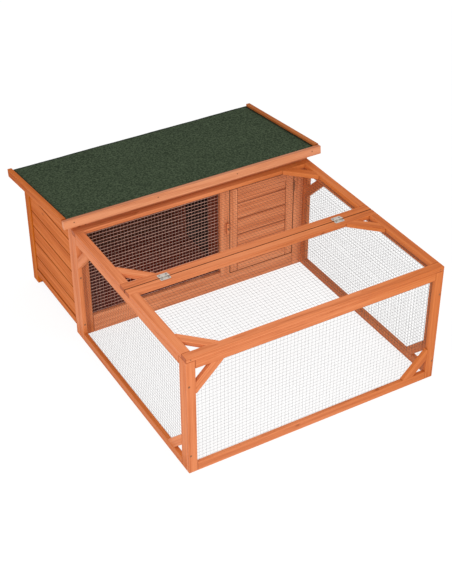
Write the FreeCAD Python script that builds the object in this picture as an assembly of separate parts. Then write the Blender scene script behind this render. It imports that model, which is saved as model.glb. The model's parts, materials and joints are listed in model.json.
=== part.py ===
"""Guinea pig hutch: a boarded sleeping house with a lean-to roof and a wire run in front of it.

Millimetres. X runs along the front, Y from the run to the house, Z up.
The origin is on the ground, in the middle of the hutch's plan.
"""
import FreeCAD
import Part
import math
import os

V = FreeCAD.Vector
X_AXIS = V(1, 0, 0)
Y_AXIS = V(0, 1, 0)
Z_AXIS = V(0, 0, 1)

# Run: three upright panels and two top frames of one timber stock
RUN_WIDTH = 910.0
RUN_DEPTH = 778.0
PANEL_HEIGHT = 424.0
STOCK_WIDTH = 30.0
STOCK_THICKNESS = 15.0
BRACE_WIDTH = 30.0
BRACE_LEG = 52.0
LID_JOINT_GAP = 2.0

# Welded wire nets: the solids keep every third wire, as flat strips
NET_PITCH = 12.7
NET_WIRES_PER_STRIP = 3
NET_THICKNESS = 1.6
NET_STRIP = 2.0
NET_INSET = 3.0
NET_CLEARANCE = 0.5

# House: posts, walls and floor
HOUSE_DEPTH = 410.0
FRONT_POST_WIDTH = 52.0
FRONT_POST_DEPTH = 30.0
REAR_POST_WIDTH = 36.0
REAR_POST_DEPTH = 42.0
WALL_ABOVE_RUN = 34.0
WALL_FOOT = 35.0
WALL_RAIL_HEIGHT = 29.0
WALL_FIRST_BOARD = 57.0
BOARD_PITCH = 64.0
BOARD_THICKNESS = 12.0
BOARD_RECESS = 3.0
BOARD_CHAMFER = 2.5
REAR_TOP_RAIL_HEIGHT = 32.0
FLOOR_BELOW_SILL = 4.0
FLOOR_THICKNESS = 9.0
FLOOR_CLEARANCE = 0.5

# House front: rails, mullion and window
TOE_RAIL_HEIGHT = 29.0
SILL_TOP = 56.0
WINDOW_RAIL_HEIGHT = 15.0
FRONT_TOP_RAIL_HEIGHT = 68.5
MULLION_WIDTH = 38.0
MULLION_TO_POST = 265.0

# Partition between the window room and the sleeping room
PARTITION_THICKNESS = 12.0
PARTITION_FROM_NET = 2.0
PARTITION_TOP_GAP = 6.0
DOORWAY_FROM_FRONT = 118.0
DOORWAY_WIDTH = 184.0
DOORWAY_HEIGHT = 300.0

# Door and its stop
DOOR_STILE = 30.0
DOOR_FIRST_BOARD = 56.0
DOOR_BOARD_PITCH = 65.0
DOOR_BOARD_THICKNESS = 10.0
DOOR_STOP_LAP = 8.0
DOOR_STOP_THICKNESS = 10.0

# Turn button on the mullion
BUTTON_LENGTH = 46.0
BUTTON_WIDTH = 12.0
BUTTON_THICKNESS = 8.0
BUTTON_FROM_DOOR = 12.0
BUTTON_HEIGHT = 253.0
BUTTON_CLEARANCE = 0.6

# Roof
ROOF_SLOPE = 6.1
ROOF_DECK = 10.0
ROOF_FELT = 2.5
FRONT_OVERHANG = 30.5
REAR_OVERHANG = 45.0
SIDE_OVERHANG = 36.0
BATTEN_WIDTH = 16.0
BATTEN_HEIGHT = 29.5
BATTEN_DROP = 9.0
FASCIA_THICKNESS = 15.0
FASCIA_HEIGHT = 30.0
FASCIA_DROP = 13.0

# Hinges
HINGE_SEAT_GAP = 0.3
HINGE_AXIAL_GAP = 0.3
PIN_CLEARANCE = 0.05
LID_HINGE_LENGTH = 36.0
LID_HINGE_REACH = 16.5
LID_HINGE_LEAF = 1.2
LID_HINGE_KNUCKLE = 2.6
LID_HINGE_PIN = 1.4
LID_HINGE_INSET = 135.0
DOOR_HINGE_LENGTH = 40.0
DOOR_HINGE_REACH = 15.0
DOOR_HINGE_LEAF = 0.8
DOOR_HINGE_LEAF_GAP = 0.4
DOOR_HINGE_KNUCKLE = 2.2
DOOR_HINGE_PIN = 1.2
DOOR_HINGE_INSET = 60.0
ROOF_HINGE_LENGTH = 50.0
ROOF_HINGE_REACH = 26.0
ROOF_HINGE_LEAF = 1.2
ROOF_HINGE_KNUCKLE = 3.0
ROOF_HINGE_PIN = 1.6
ROOF_HINGE_INSET = 155.0

# Screws and nails
SCREW_RADIUS = 1.75
SCREW_HEAD_RADIUS = 3.6
SCREW_HEAD_HEIGHT = 2.2
SCREW_CLEARANCE = 0.1
SCREW_COVER = 8.0
SCREW_FROM_BOTTOM = 68.0
FRONT_SCREW_FROM_TOP = 89.0
REAR_SCREW_FROM_TOP = 163.0
BUTTON_SCREW_COVER = 3.5
NAIL_RADIUS = 1.2
NAIL_HEAD_RADIUS = 2.4
NAIL_HEAD_HEIGHT = 0.8
NAIL_LENGTH = 38.0
FASCIA_NAILS = 4
FASCIA_NAIL_INSET = 37.0

# Places worked out from the sizes
SLOPE = math.radians(ROOF_SLOPE)
BATTEN_TOP = BATTEN_HEIGHT - BATTEN_DROP
FRAME_TOP = PANEL_HEIGHT + STOCK_THICKNESS
WALL_FRONT_HEIGHT = FRAME_TOP + WALL_ABOVE_RUN
NET_EDGE = STOCK_THICKNESS + NET_INSET
NET_OVERLAP = STOCK_WIDTH - NET_EDGE
HALF_WIDTH = RUN_WIDTH / 2
REAR_REACH = REAR_OVERHANG + BATTEN_TOP * math.sin(SLOPE)
FRONT_Y = -(RUN_DEPTH + HOUSE_DEPTH + REAR_REACH) / 2
HOUSE_Y = FRONT_Y + RUN_DEPTH
REAR_Y = HOUSE_Y + HOUSE_DEPTH
LID_JOINT_Y = FRONT_Y + RUN_DEPTH / 2
FRONT_POST_X = HALF_WIDTH - FRONT_POST_WIDTH
REAR_POST_X = HALF_WIDTH - REAR_POST_WIDTH
WALL_START_Y = HOUSE_Y + FRONT_POST_DEPTH
WALL_END_Y = REAR_Y - REAR_POST_DEPTH
WALL_RAIL_TOP = WALL_FOOT + WALL_RAIL_HEIGHT
WALL_DEPTH = max(STOCK_THICKNESS, BOARD_RECESS + BOARD_THICKNESS)
FLOOR_TOP = SILL_TOP - FLOOR_BELOW_SILL
FRONT_OPENING_TOP = WALL_FRONT_HEIGHT - FRONT_TOP_RAIL_HEIGHT
FRONT_INNER_Y = HOUSE_Y + STOCK_THICKNESS
MULLION_RIGHT = FRONT_POST_X - MULLION_TO_POST
MULLION_LEFT = MULLION_RIGHT - MULLION_WIDTH
PARTITION_X = MULLION_LEFT + NET_OVERLAP + PARTITION_FROM_NET
DOOR_GAP = 2 * DOOR_HINGE_LEAF + DOOR_HINGE_LEAF_GAP
DOOR_LEFT = MULLION_RIGHT + DOOR_GAP
DOOR_RIGHT = FRONT_POST_X - DOOR_GAP
DOOR_BOTTOM = SILL_TOP + DOOR_GAP
DOOR_TOP = FRONT_OPENING_TOP - DOOR_GAP
BUTTON_X = DOOR_LEFT - BUTTON_FROM_DOOR
BUTTON_Y = HOUSE_Y - BUTTON_CLEARANCE
ROOF_HALF_WIDTH = HALF_WIDTH + SIDE_OVERHANG
DECK_HALF_WIDTH = ROOF_HALF_WIDTH - BATTEN_WIDTH
ROOF_FRONT = -FRONT_OVERHANG / math.cos(SLOPE)
ROOF_REAR = (HOUSE_DEPTH + REAR_OVERHANG) / math.cos(SLOPE)
DECK_FRONT = ROOF_FRONT + FASCIA_THICKNESS
SCREW_X = HALF_WIDTH - STOCK_THICKNESS / 2
FRONT_SCREW_LENGTH = STOCK_THICKNESS + STOCK_WIDTH - SCREW_COVER
REAR_SCREW_LENGTH = STOCK_WIDTH + FRONT_POST_DEPTH - SCREW_COVER


def box(x0, x1, y0, y1, z0, z1):
    """A block between two corners."""
    return Part.makeBox(x1 - x0, y1 - y0, z1 - z0, V(x0, y0, z0))


def prism(corners, sweep):
    """A flat outline carried along a straight sweep."""
    return Part.Face(Part.makePolygon(corners + corners[:1])).extrude(sweep)


def placed(shape, origin, u_axis, v_axis):
    """The shape with its own X, Y and Z laid along u, v and u cross v, from the origin given."""
    n_axis = u_axis.cross(v_axis)
    turn = FreeCAD.Matrix(
        u_axis.x, v_axis.x, n_axis.x, origin.x,
        u_axis.y, v_axis.y, n_axis.y, origin.y,
        u_axis.z, v_axis.z, n_axis.z, origin.z,
        0, 0, 0, 1)
    moved = shape.copy()
    moved.Placement = FreeCAD.Placement(turn).multiply(shape.Placement)
    return moved


def save(node, *solids):
    """Write one piece, or a group of like pieces, under its name."""
    shape = solids[0] if len(solids) == 1 else Part.makeCompound(list(solids))
    shape.exportStep("parts/" + node + ".step")


def underside(y):
    """Height of the roof deck's underside at a place along Y."""
    return WALL_FRONT_HEIGHT - (y - HOUSE_Y) * math.tan(SLOPE)


def on_roof(shape):
    """A shape of the roof's frame: Y down the slope from the house front, Z off the deck's underside."""
    down_slope = V(0, math.cos(SLOPE), -math.sin(SLOPE))
    return placed(shape, V(0, HOUSE_Y, WALL_FRONT_HEIGHT), X_AXIS, down_slope)


def under_roof(shape, gap=0.0):
    """A piece of the house cut to the slope of the roof deck, a gap below it."""
    reach = RUN_DEPTH + HOUSE_DEPTH + REAR_OVERHANG
    above = box(-ROOF_HALF_WIDTH, ROOF_HALF_WIDTH, -reach, reach, -gap, reach)
    return shape.cut(on_roof(above))


def clear_of_corner(low, high, width, height, corner, clip_leg):
    """Whether a net's gap keeps a strip of wire between itself and a corner that is cut off."""
    from_side = width - high.x if corner[0] else low.x
    from_end = height - high.y if corner[1] else low.y
    return from_side + from_end > clip_leg + NET_STRIP * math.sqrt(2)


def net(width, height, clipped, clip_leg):
    """A holed sheet in X and Y, with the named corners cut off, just below Z = 0."""
    outline = []
    for corner in ((0, 0), (1, 0), (1, 1), (0, 1)):
        tip = V(corner[0] * width, corner[1] * height, 0)
        along_x = tip + V((1 - 2 * corner[0]) * clip_leg, 0, 0)
        along_y = tip + V(0, (1 - 2 * corner[1]) * clip_leg, 0)
        if corner not in clipped:
            outline.append(tip)
        elif corner[0] == corner[1]:
            outline += [along_y, along_x]
        else:
            outline += [along_x, along_y]
    wires = [Part.makePolygon(outline + outline[:1])]
    pitch = NET_PITCH * NET_WIRES_PER_STRIP
    columns = max(1, int((width - NET_STRIP) / pitch))
    rows = max(1, int((height - NET_STRIP) / pitch))
    cell = V(width / columns, height / rows, 0)
    for column in range(columns):
        for row in range(rows):
            low = V(column * cell.x + NET_STRIP / 2, row * cell.y + NET_STRIP / 2, 0)
            high = low + V(cell.x - NET_STRIP, cell.y - NET_STRIP, 0)
            if all(clear_of_corner(low, high, width, height, corner, clip_leg) for corner in clipped):
                wires.append(Part.makePolygon([low, V(high.x, low.y, 0), high, V(low.x, high.y, 0), low]))
    sheet = Part.makeFace(Part.makeCompound(wires), "Part::FaceMakerBullseye")
    return sheet.extrude(V(0, 0, -NET_THICKNESS))


def brace(length, height, corner):
    """A board cut at 45 degrees across an inner corner of a frame, just below Z = 0."""
    far_leg = BRACE_LEG + BRACE_WIDTH * math.sqrt(2)
    inner = V(length - STOCK_WIDTH if corner[0] else STOCK_WIDTH,
              height - STOCK_WIDTH if corner[1] else STOCK_WIDTH, 0)
    step_x = V(1 - 2 * corner[0], 0, 0)
    step_y = V(0, 1 - 2 * corner[1], 0)
    corners = [inner + step_x * BRACE_LEG, inner + step_x * far_leg,
               inner + step_y * far_leg, inner + step_y * BRACE_LEG]
    return prism(corners, V(0, 0, -STOCK_THICKNESS))


def framed_panel(length, height, corners, origin, u_axis, v_axis):
    """Two full stiles, two rails between them, two braces and a net behind, each group placed."""
    inner = length - STOCK_WIDTH
    upper = height - STOCK_WIDTH
    stiles = [box(u, u + STOCK_WIDTH, 0, height, -STOCK_THICKNESS, 0) for u in (0, inner)]
    rails = [box(STOCK_WIDTH, inner, v, v + STOCK_WIDTH, -STOCK_THICKNESS, 0) for v in (0, upper)]
    braces = [brace(length, height, corner) for corner in corners]
    clip_leg = BRACE_LEG + BRACE_WIDTH / math.sqrt(2) + 2 * NET_OVERLAP
    sheet = net(length - 2 * NET_EDGE, height - 2 * NET_EDGE, corners, clip_leg)
    sheet.translate(V(NET_EDGE, NET_EDGE, -STOCK_THICKNESS))
    groups = (stiles, rails, braces, [sheet])
    return [[placed(piece, origin, u_axis, v_axis) for piece in group] for group in groups]


def board_tops(bottom, first, top, pitch):
    """Heights of the joints of a boarded wall with its own first board, where the last takes what is left."""
    start = bottom + first
    count = max(1, round((top - start) / pitch))
    return [start + pitch * i for i in range(count)] + [top]


def boards(length, bottom, tops, thickness, origin, u_axis):
    """Level boards one on the other, with the outer long edges of each taken off."""
    c = BOARD_CHAMFER
    made = []
    for top in tops:
        corners = [V(0, bottom, -thickness), V(0, bottom, -c), V(0, bottom + c, 0)]
        corners += [V(0, top - c, 0), V(0, top, -c), V(0, top, -thickness)]
        made.append(placed(prism(corners, V(length, 0, 0)), origin, u_axis, Z_AXIS))
        bottom = top
    return made


def countersunk_screw(length, grow=0.0):
    """A flat-headed screw along +Y with its head in the plane Y = 0, or its hole where it is grown."""
    radii = (SCREW_HEAD_RADIUS + grow, SCREW_RADIUS + grow)
    head = Part.makeCone(*radii, SCREW_HEAD_HEIGHT, V(0, 0, 0), Y_AXIS)
    shank = Part.makeCylinder(SCREW_RADIUS + grow, length + grow, V(0, 0, 0), Y_AXIS)
    return head.fuse(shank).removeSplitter()


def nail(grow=0.0):
    """A flat-headed nail along +Y with its head in the plane Y = 0, or its hole where it is grown."""
    head = Part.makeCylinder(NAIL_HEAD_RADIUS + grow, NAIL_HEAD_HEIGHT + grow, V(0, 0, 0), Y_AXIS)
    shank = Part.makeCylinder(NAIL_RADIUS + grow, NAIL_LENGTH + grow, V(0, 0, 0), Y_AXIS)
    return head.fuse(shank).removeSplitter()


def moved_to(shape, spots):
    """A copy of the shape at each of the spots."""
    copies = []
    for spot in spots:
        copies.append(shape.copy())
        copies[-1].translate(spot)
    return copies


def knuckle_spans(length):
    """Stretches of the pin held by the fixed leaf, at the ends, and by the moving leaf, in the middle."""
    half = length / 2
    sixth = length / 6
    gap = HINGE_AXIAL_GAP / 2
    fixed = [(-half, -sixth - gap), (sixth + gap, half)]
    moving = [(-sixth + gap, sixth - gap)]
    return fixed, moving


def hinge_leaf(length, reach, leaf, knuckle, pin, seat, spans):
    """A leaf along +Y from a pin on the X axis, lying on a seat that far below the pin."""
    clear = knuckle + HINGE_SEAT_GAP
    shape = box(-length / 2, length / 2, clear, reach, -seat, leaf - seat)
    for start, end in spans:
        shape = shape.fuse(box(start, end, 0, clear, -seat, leaf - seat))
        shape = shape.fuse(Part.makeCylinder(knuckle, end - start, V(start, 0, 0), X_AXIS))
    hole = Part.makeCylinder(pin + PIN_CLEARANCE, length, V(-length / 2, 0, 0), X_AXIS)
    return shape.removeSplitter().cut(hole)


def hinge_pin(length, pin):
    """A pin along X through the middle of a hinge."""
    return Part.makeCylinder(pin, length, V(-length / 2, 0, 0), X_AXIS)


def panel_screw_tools():
    """The screws that hold the run together, and the holes for them."""
    layouts = (
        (FRONT_Y, FRONT_SCREW_LENGTH, FRONT_SCREW_FROM_TOP),
        (HOUSE_Y - STOCK_WIDTH, REAR_SCREW_LENGTH, REAR_SCREW_FROM_TOP),
    )
    screws = []
    holes = []
    for y, length, from_top in layouts:
        heights = (SCREW_FROM_BOTTOM, PANEL_HEIGHT - from_top)
        spots = [V(side * SCREW_X, y, z) for side in (-1, 1) for z in heights]
        screws += moved_to(countersunk_screw(length), spots)
        holes += moved_to(countersunk_screw(length, SCREW_CLEARANCE), spots)
    return screws, holes


def make_run_panels(screw_holes):
    """The left, right and front panels of the run."""
    side_length = RUN_DEPTH - STOCK_THICKNESS
    side_front = FRONT_Y + STOCK_THICKNESS
    layouts = {
        "left": (side_length, ((0, 1), (1, 0)), V(-HALF_WIDTH, HOUSE_Y, 0), -Y_AXIS),
        "right": (side_length, ((1, 1), (0, 0)), V(HALF_WIDTH, side_front, 0), Y_AXIS),
        "front": (RUN_WIDTH, ((0, 1), (1, 0)), V(-HALF_WIDTH, FRONT_Y, 0), X_AXIS),
    }
    for side, (length, corners, origin, u_axis) in layouts.items():
        stiles, rails, braces, sheet = framed_panel(length, PANEL_HEIGHT, corners, origin, u_axis, Z_AXIS)
        save(side + "_panel_stiles", *[stile.cut(screw_holes) for stile in stiles])
        save(side + "_panel_rails", *rails)
        save(side + "_panel_braces", *braces)
        save(side + "_panel_net", *sheet)


def make_top_frames():
    """The fixed rear frame and the front lid on top of the run."""
    depth = (RUN_DEPTH - LID_JOINT_GAP) / 2
    corners = ((1, 0), (0, 1))
    layouts = {"rear_frame": HOUSE_Y, "lid": FRONT_Y + depth}
    for name, rear_y in layouts.items():
        origin = V(-HALF_WIDTH, rear_y, FRAME_TOP)
        stiles, rails, braces, sheet = framed_panel(depth, RUN_WIDTH, corners, origin, -Y_AXIS, X_AXIS)
        save(name + "_long_rails", *stiles)
        save(name + "_side_rails", *rails)
        save(name + "_braces", *braces)
        save(name + "_net", *sheet)


def make_lid_hinges():
    """Two surface hinges across the joint of the rear frame and the lid; gives back their pins."""
    seat = LID_HINGE_KNUCKLE + HINGE_SEAT_GAP
    sizes = (LID_HINGE_LENGTH, LID_HINGE_REACH, LID_HINGE_LEAF, LID_HINGE_KNUCKLE, LID_HINGE_PIN, seat)
    hinge_x = HALF_WIDTH - LID_HINGE_INSET
    fixed_spans, moving_spans = knuckle_spans(LID_HINGE_LENGTH)
    spots = [V(side * hinge_x, LID_JOINT_Y, FRAME_TOP + seat) for side in (-1, 1)]
    fixed = hinge_leaf(*sizes, fixed_spans)
    moving = hinge_leaf(*sizes, moving_spans)
    save("lid_hinge_fixed_leaves", *[placed(fixed, spot, X_AXIS, Y_AXIS) for spot in spots])
    save("lid_hinge_moving_leaves", *[placed(moving, spot, -X_AXIS, -Y_AXIS) for spot in spots])
    return moved_to(hinge_pin(LID_HINGE_LENGTH, LID_HINGE_PIN), spots)


def make_posts(screw_holes):
    """The four corner posts of the house, cut to the roof's slope."""
    front_end = HOUSE_Y + FRONT_POST_DEPTH
    rear_start = REAR_Y - REAR_POST_DEPTH
    places = {
        "front_left_post": (-HALF_WIDTH, -FRONT_POST_X, HOUSE_Y, front_end),
        "front_right_post": (FRONT_POST_X, HALF_WIDTH, HOUSE_Y, front_end),
        "rear_left_post": (-HALF_WIDTH, -REAR_POST_X, rear_start, REAR_Y),
        "rear_right_post": (REAR_POST_X, HALF_WIDTH, rear_start, REAR_Y),
    }
    for node, (x0, x1, y0, y1) in places.items():
        save(node, under_roof(box(x0, x1, y0, y1, 0, WALL_FRONT_HEIGHT)).cut(screw_holes))
    return list(places.values())


def make_side_walls():
    """Boards and a bottom rail between the posts of each side."""
    length = WALL_END_Y - WALL_START_Y
    tops = board_tops(WALL_RAIL_TOP, WALL_FIRST_BOARD, underside(WALL_END_Y), BOARD_PITCH)
    tops[-1] = WALL_FRONT_HEIGHT
    outer = HALF_WIDTH - BOARD_RECESS
    layouts = {
        "left": (-1, V(-outer, WALL_END_Y, 0), -Y_AXIS),
        "right": (1, V(outer, WALL_START_Y, 0), Y_AXIS),
    }
    for side, (sign, origin, u_axis) in layouts.items():
        wall = boards(length, WALL_RAIL_TOP, tops, BOARD_THICKNESS, origin, u_axis)
        save(side + "_wall_boards", *[under_roof(board) for board in wall])
        edges = sorted((sign * HALF_WIDTH, sign * (HALF_WIDTH - STOCK_THICKNESS)))
        save(side + "_wall_bottom_rail", box(*edges, WALL_START_Y, WALL_END_Y, WALL_FOOT, WALL_RAIL_TOP))


def make_rear_wall():
    """Bottom rail, boards and the top rail that carries the roof's hinges."""
    inner_y = REAR_Y - STOCK_THICKNESS
    top_rail_low = underside(REAR_Y) - REAR_TOP_RAIL_HEIGHT
    top_rail = box(-REAR_POST_X, REAR_POST_X, inner_y, REAR_Y, top_rail_low, WALL_FRONT_HEIGHT)
    save("rear_wall_top_rail", under_roof(top_rail, ROOF_HINGE_LEAF + HINGE_SEAT_GAP))
    save("rear_wall_bottom_rail", box(-REAR_POST_X, REAR_POST_X, inner_y, REAR_Y, WALL_FOOT, WALL_RAIL_TOP))
    tops = board_tops(WALL_RAIL_TOP, WALL_FIRST_BOARD, top_rail_low, BOARD_PITCH)
    origin = V(REAR_POST_X, REAR_Y - BOARD_RECESS, 0)
    wall = boards(2 * REAR_POST_X, WALL_RAIL_TOP, tops, BOARD_THICKNESS, origin, -X_AXIS)
    save("rear_wall_boards", *wall)


def make_floor(posts):
    """The house floor between the bottom rails, notched around the posts."""
    half = HALF_WIDTH - STOCK_THICKNESS
    low = FLOOR_TOP - FLOOR_THICKNESS
    floor = box(-half, half, FRONT_INNER_Y, REAR_Y - STOCK_THICKNESS, low, FLOOR_TOP)
    c = FLOOR_CLEARANCE
    notches = [box(x0 - c, x1 + c, y0 - c, y1 + c, low, FLOOR_TOP) for x0, x1, y0, y1 in posts]
    save("house_floor", floor.cut(notches))


def make_house_front():
    """Rails, mullion and window net between the front posts."""
    def rail(x0, x1, z0, z1):
        return box(x0, x1, HOUSE_Y, FRONT_INNER_Y, z0, z1)

    window_low = SILL_TOP + WINDOW_RAIL_HEIGHT
    save("front_toe_rail", rail(-FRONT_POST_X, FRONT_POST_X, 0, TOE_RAIL_HEIGHT))
    save("front_sill", rail(-FRONT_POST_X, FRONT_POST_X, TOE_RAIL_HEIGHT, SILL_TOP))
    save("window_bottom_rail", rail(-FRONT_POST_X, MULLION_LEFT, SILL_TOP, window_low))
    top_rail = rail(-FRONT_POST_X, FRONT_POST_X, FRONT_OPENING_TOP, WALL_FRONT_HEIGHT)
    save("front_top_rail", under_roof(top_rail))
    hole_depth = STOCK_THICKNESS - BUTTON_SCREW_COVER + SCREW_CLEARANCE
    hole_mouth = V(BUTTON_X, HOUSE_Y, BUTTON_HEIGHT)
    hole = Part.makeCylinder(SCREW_RADIUS + SCREW_CLEARANCE, hole_depth, hole_mouth, Y_AXIS)
    save("window_mullion", rail(MULLION_LEFT, MULLION_RIGHT, SILL_TOP, FRONT_OPENING_TOP).cut(hole))
    left = NET_CLEARANCE - FRONT_POST_X
    low = SILL_TOP + NET_INSET
    sheet = net(MULLION_LEFT + NET_OVERLAP - left, FRONT_OPENING_TOP + NET_OVERLAP - low, (), 0.0)
    save("window_net", placed(sheet, V(left, FRONT_INNER_Y, low), X_AXIS, Z_AXIS))


def make_partition():
    """Two upright boards and a header that leave a doorway between the two rooms."""
    def piece(y0, y1, low):
        block = box(PARTITION_X, PARTITION_X + PARTITION_THICKNESS, y0, y1, low, WALL_FRONT_HEIGHT)
        return under_roof(block, PARTITION_TOP_GAP)

    near = HOUSE_Y + DOORWAY_FROM_FRONT
    far = near + DOORWAY_WIDTH
    header = piece(near, far, FLOOR_TOP + DOORWAY_HEIGHT)
    front_board = piece(FRONT_INNER_Y, near, FLOOR_TOP)
    rear_board = piece(far, REAR_Y - WALL_DEPTH, FLOOR_TOP)
    save("partition_boards", front_board, rear_board, header)


def make_door():
    """The framed and boarded door, its stop, and its hinges; gives back the hinge pins."""
    rear_y = HOUSE_Y + STOCK_THICKNESS
    inner_left = DOOR_LEFT + DOOR_STILE
    inner_right = DOOR_RIGHT - DOOR_STILE
    low = DOOR_BOTTOM + DOOR_STILE
    high = DOOR_TOP - DOOR_STILE
    lefts = (DOOR_LEFT, inner_right)
    stiles = [box(x, x + DOOR_STILE, HOUSE_Y, rear_y, DOOR_BOTTOM, DOOR_TOP) for x in lefts]
    rails = [box(inner_left, inner_right, HOUSE_Y, rear_y, z, z + DOOR_STILE) for z in (DOOR_BOTTOM, high)]
    tops = board_tops(low, DOOR_FIRST_BOARD, high, DOOR_BOARD_PITCH)
    origin = V(inner_left, HOUSE_Y + BOARD_RECESS, 0)
    save("door_stiles", *stiles)
    save("door_rails", *rails)
    save("door_boards", *boards(inner_right - inner_left, low, tops, DOOR_BOARD_THICKNESS, origin, X_AXIS))
    stop_left = PARTITION_X + PARTITION_THICKNESS
    stop_right = DOOR_LEFT + DOOR_STOP_LAP
    stop_rear = FRONT_INNER_Y + DOOR_STOP_THICKNESS
    save("door_stop", box(stop_left, stop_right, FRONT_INNER_Y, stop_rear, DOOR_BOTTOM, DOOR_TOP))

    seat = DOOR_GAP / 2
    sizes = (DOOR_HINGE_LENGTH, DOOR_HINGE_REACH, DOOR_HINGE_LEAF, DOOR_HINGE_KNUCKLE, DOOR_HINGE_PIN, seat)
    fixed_spans, moving_spans = knuckle_spans(DOOR_HINGE_LENGTH)
    pin_x = FRONT_POST_X - seat
    pin_y = HOUSE_Y - DOOR_HINGE_KNUCKLE - HINGE_SEAT_GAP
    spots = [V(pin_x, pin_y, z) for z in (DOOR_BOTTOM + DOOR_HINGE_INSET, DOOR_TOP - DOOR_HINGE_INSET)]
    fixed = hinge_leaf(*sizes, fixed_spans)
    moving = hinge_leaf(*sizes, moving_spans)
    save("door_hinge_fixed_leaves", *[placed(fixed, spot, Z_AXIS, Y_AXIS) for spot in spots])
    save("door_hinge_moving_leaves", *[placed(moving, spot, -Z_AXIS, Y_AXIS) for spot in spots])
    pin = hinge_pin(DOOR_HINGE_LENGTH, DOOR_HINGE_PIN)
    return [placed(pin, spot, Z_AXIS, Y_AXIS) for spot in spots]


def make_turn_button():
    """The upright turn button that swings across the door's edge, and the screw it turns on."""
    half = (BUTTON_LENGTH - BUTTON_WIDTH) / 2
    radius = BUTTON_WIDTH / 2
    front_y = BUTTON_Y - BUTTON_THICKNESS
    x, z = BUTTON_X, BUTTON_HEIGHT
    bar = box(x - radius, x + radius, front_y, BUTTON_Y, z - half, z + half)
    for end in (-half, half):
        bar = bar.fuse(Part.makeCylinder(radius, BUTTON_THICKNESS, V(x, front_y, z + end), Y_AXIS))
    hole = Part.makeCylinder(SCREW_RADIUS + PIN_CLEARANCE, BUTTON_THICKNESS, V(x, front_y, z), Y_AXIS)
    save("turn_button", bar.removeSplitter().cut(hole))
    head_y = front_y - BUTTON_CLEARANCE / 2
    shank_length = FRONT_INNER_Y - BUTTON_SCREW_COVER - head_y
    head = Part.makeCylinder(SCREW_HEAD_RADIUS, SCREW_HEAD_HEIGHT, V(x, head_y, z), -Y_AXIS)
    shank = Part.makeCylinder(SCREW_RADIUS, shank_length, V(x, head_y, z), Y_AXIS)
    save("turn_button_screw", head.fuse(shank).removeSplitter())


def make_roof():
    """Deck, felt, side battens and the nailed fascia, all square to the slope."""
    first_nail = FASCIA_NAIL_INSET - ROOF_HALF_WIDTH
    nail_pitch = -2 * first_nail / (FASCIA_NAILS - 1)
    nail_spots = [V(first_nail + i * nail_pitch, ROOF_FRONT, ROOF_DECK / 2) for i in range(FASCIA_NAILS)]
    holes = moved_to(nail(SCREW_CLEARANCE), nail_spots)
    deck = box(-DECK_HALF_WIDTH, DECK_HALF_WIDTH, DECK_FRONT, ROOF_REAR, 0, ROOF_DECK)
    felt_top = ROOF_DECK + ROOF_FELT
    felt = box(-DECK_HALF_WIDTH, DECK_HALF_WIDTH, DECK_FRONT, ROOF_REAR, ROOF_DECK, felt_top)
    fascia_top = FASCIA_HEIGHT - FASCIA_DROP
    fascia = box(-ROOF_HALF_WIDTH, ROOF_HALF_WIDTH, ROOF_FRONT, DECK_FRONT, -FASCIA_DROP, fascia_top)
    save("roof_deck", on_roof(deck.cut(holes)))
    save("roof_felt", on_roof(felt))
    save("roof_fascia", on_roof(fascia.cut(holes)))
    save("fascia_nails", *[on_roof(piece) for piece in moved_to(nail(), nail_spots)])
    for side, sign in (("left", -1), ("right", 1)):
        edges = sorted((sign * ROOF_HALF_WIDTH, sign * DECK_HALF_WIDTH))
        batten = box(*edges, DECK_FRONT, ROOF_REAR, -BATTEN_DROP, BATTEN_TOP)
        save("roof_" + side + "_batten", on_roof(batten))


def make_roof_hinges():
    """Two hinges at the top of the rear wall, under the deck; gives back their pins."""
    seat = ROOF_HINGE_KNUCKLE + HINGE_SEAT_GAP
    sizes = (ROOF_HINGE_LENGTH, ROOF_HINGE_REACH, ROOF_HINGE_LEAF, ROOF_HINGE_KNUCKLE, ROOF_HINGE_PIN, seat)
    fixed_spans, moving_spans = knuckle_spans(ROOF_HINGE_LENGTH)
    pin_y = REAR_Y + seat
    pin_z = underside(pin_y) - seat / math.cos(SLOPE)
    hinge_x = HALF_WIDTH - ROOF_HINGE_INSET
    spots = [V(side * hinge_x, pin_y, pin_z) for side in (-1, 1)]
    up_slope = V(0, -math.cos(SLOPE), math.sin(SLOPE))
    fixed = hinge_leaf(*sizes, fixed_spans)
    moving = hinge_leaf(*sizes, moving_spans)
    save("roof_hinge_fixed_leaves", *[placed(fixed, spot, X_AXIS, -Z_AXIS) for spot in spots])
    save("roof_hinge_moving_leaves", *[placed(moving, spot, X_AXIS, up_slope) for spot in spots])
    return moved_to(hinge_pin(ROOF_HINGE_LENGTH, ROOF_HINGE_PIN), spots)


def main():
    """Build every piece and write it to its own file."""
    os.makedirs("parts", exist_ok=True)
    screws, screw_holes = panel_screw_tools()
    save("panel_screws", *screws)
    make_run_panels(screw_holes)
    make_top_frames()
    posts = make_posts(screw_holes)
    make_side_walls()
    make_rear_wall()
    make_floor(posts)
    make_house_front()
    make_partition()
    make_turn_button()
    make_roof()
    save("hinge_pins", *make_lid_hinges(), *make_door(), *make_roof_hinges())


main()
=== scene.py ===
import json
import math

import bpy
import numpy as np
from bpy.props import FloatProperty, FloatVectorProperty, PointerProperty
from mathutils import Matrix, Vector

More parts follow.
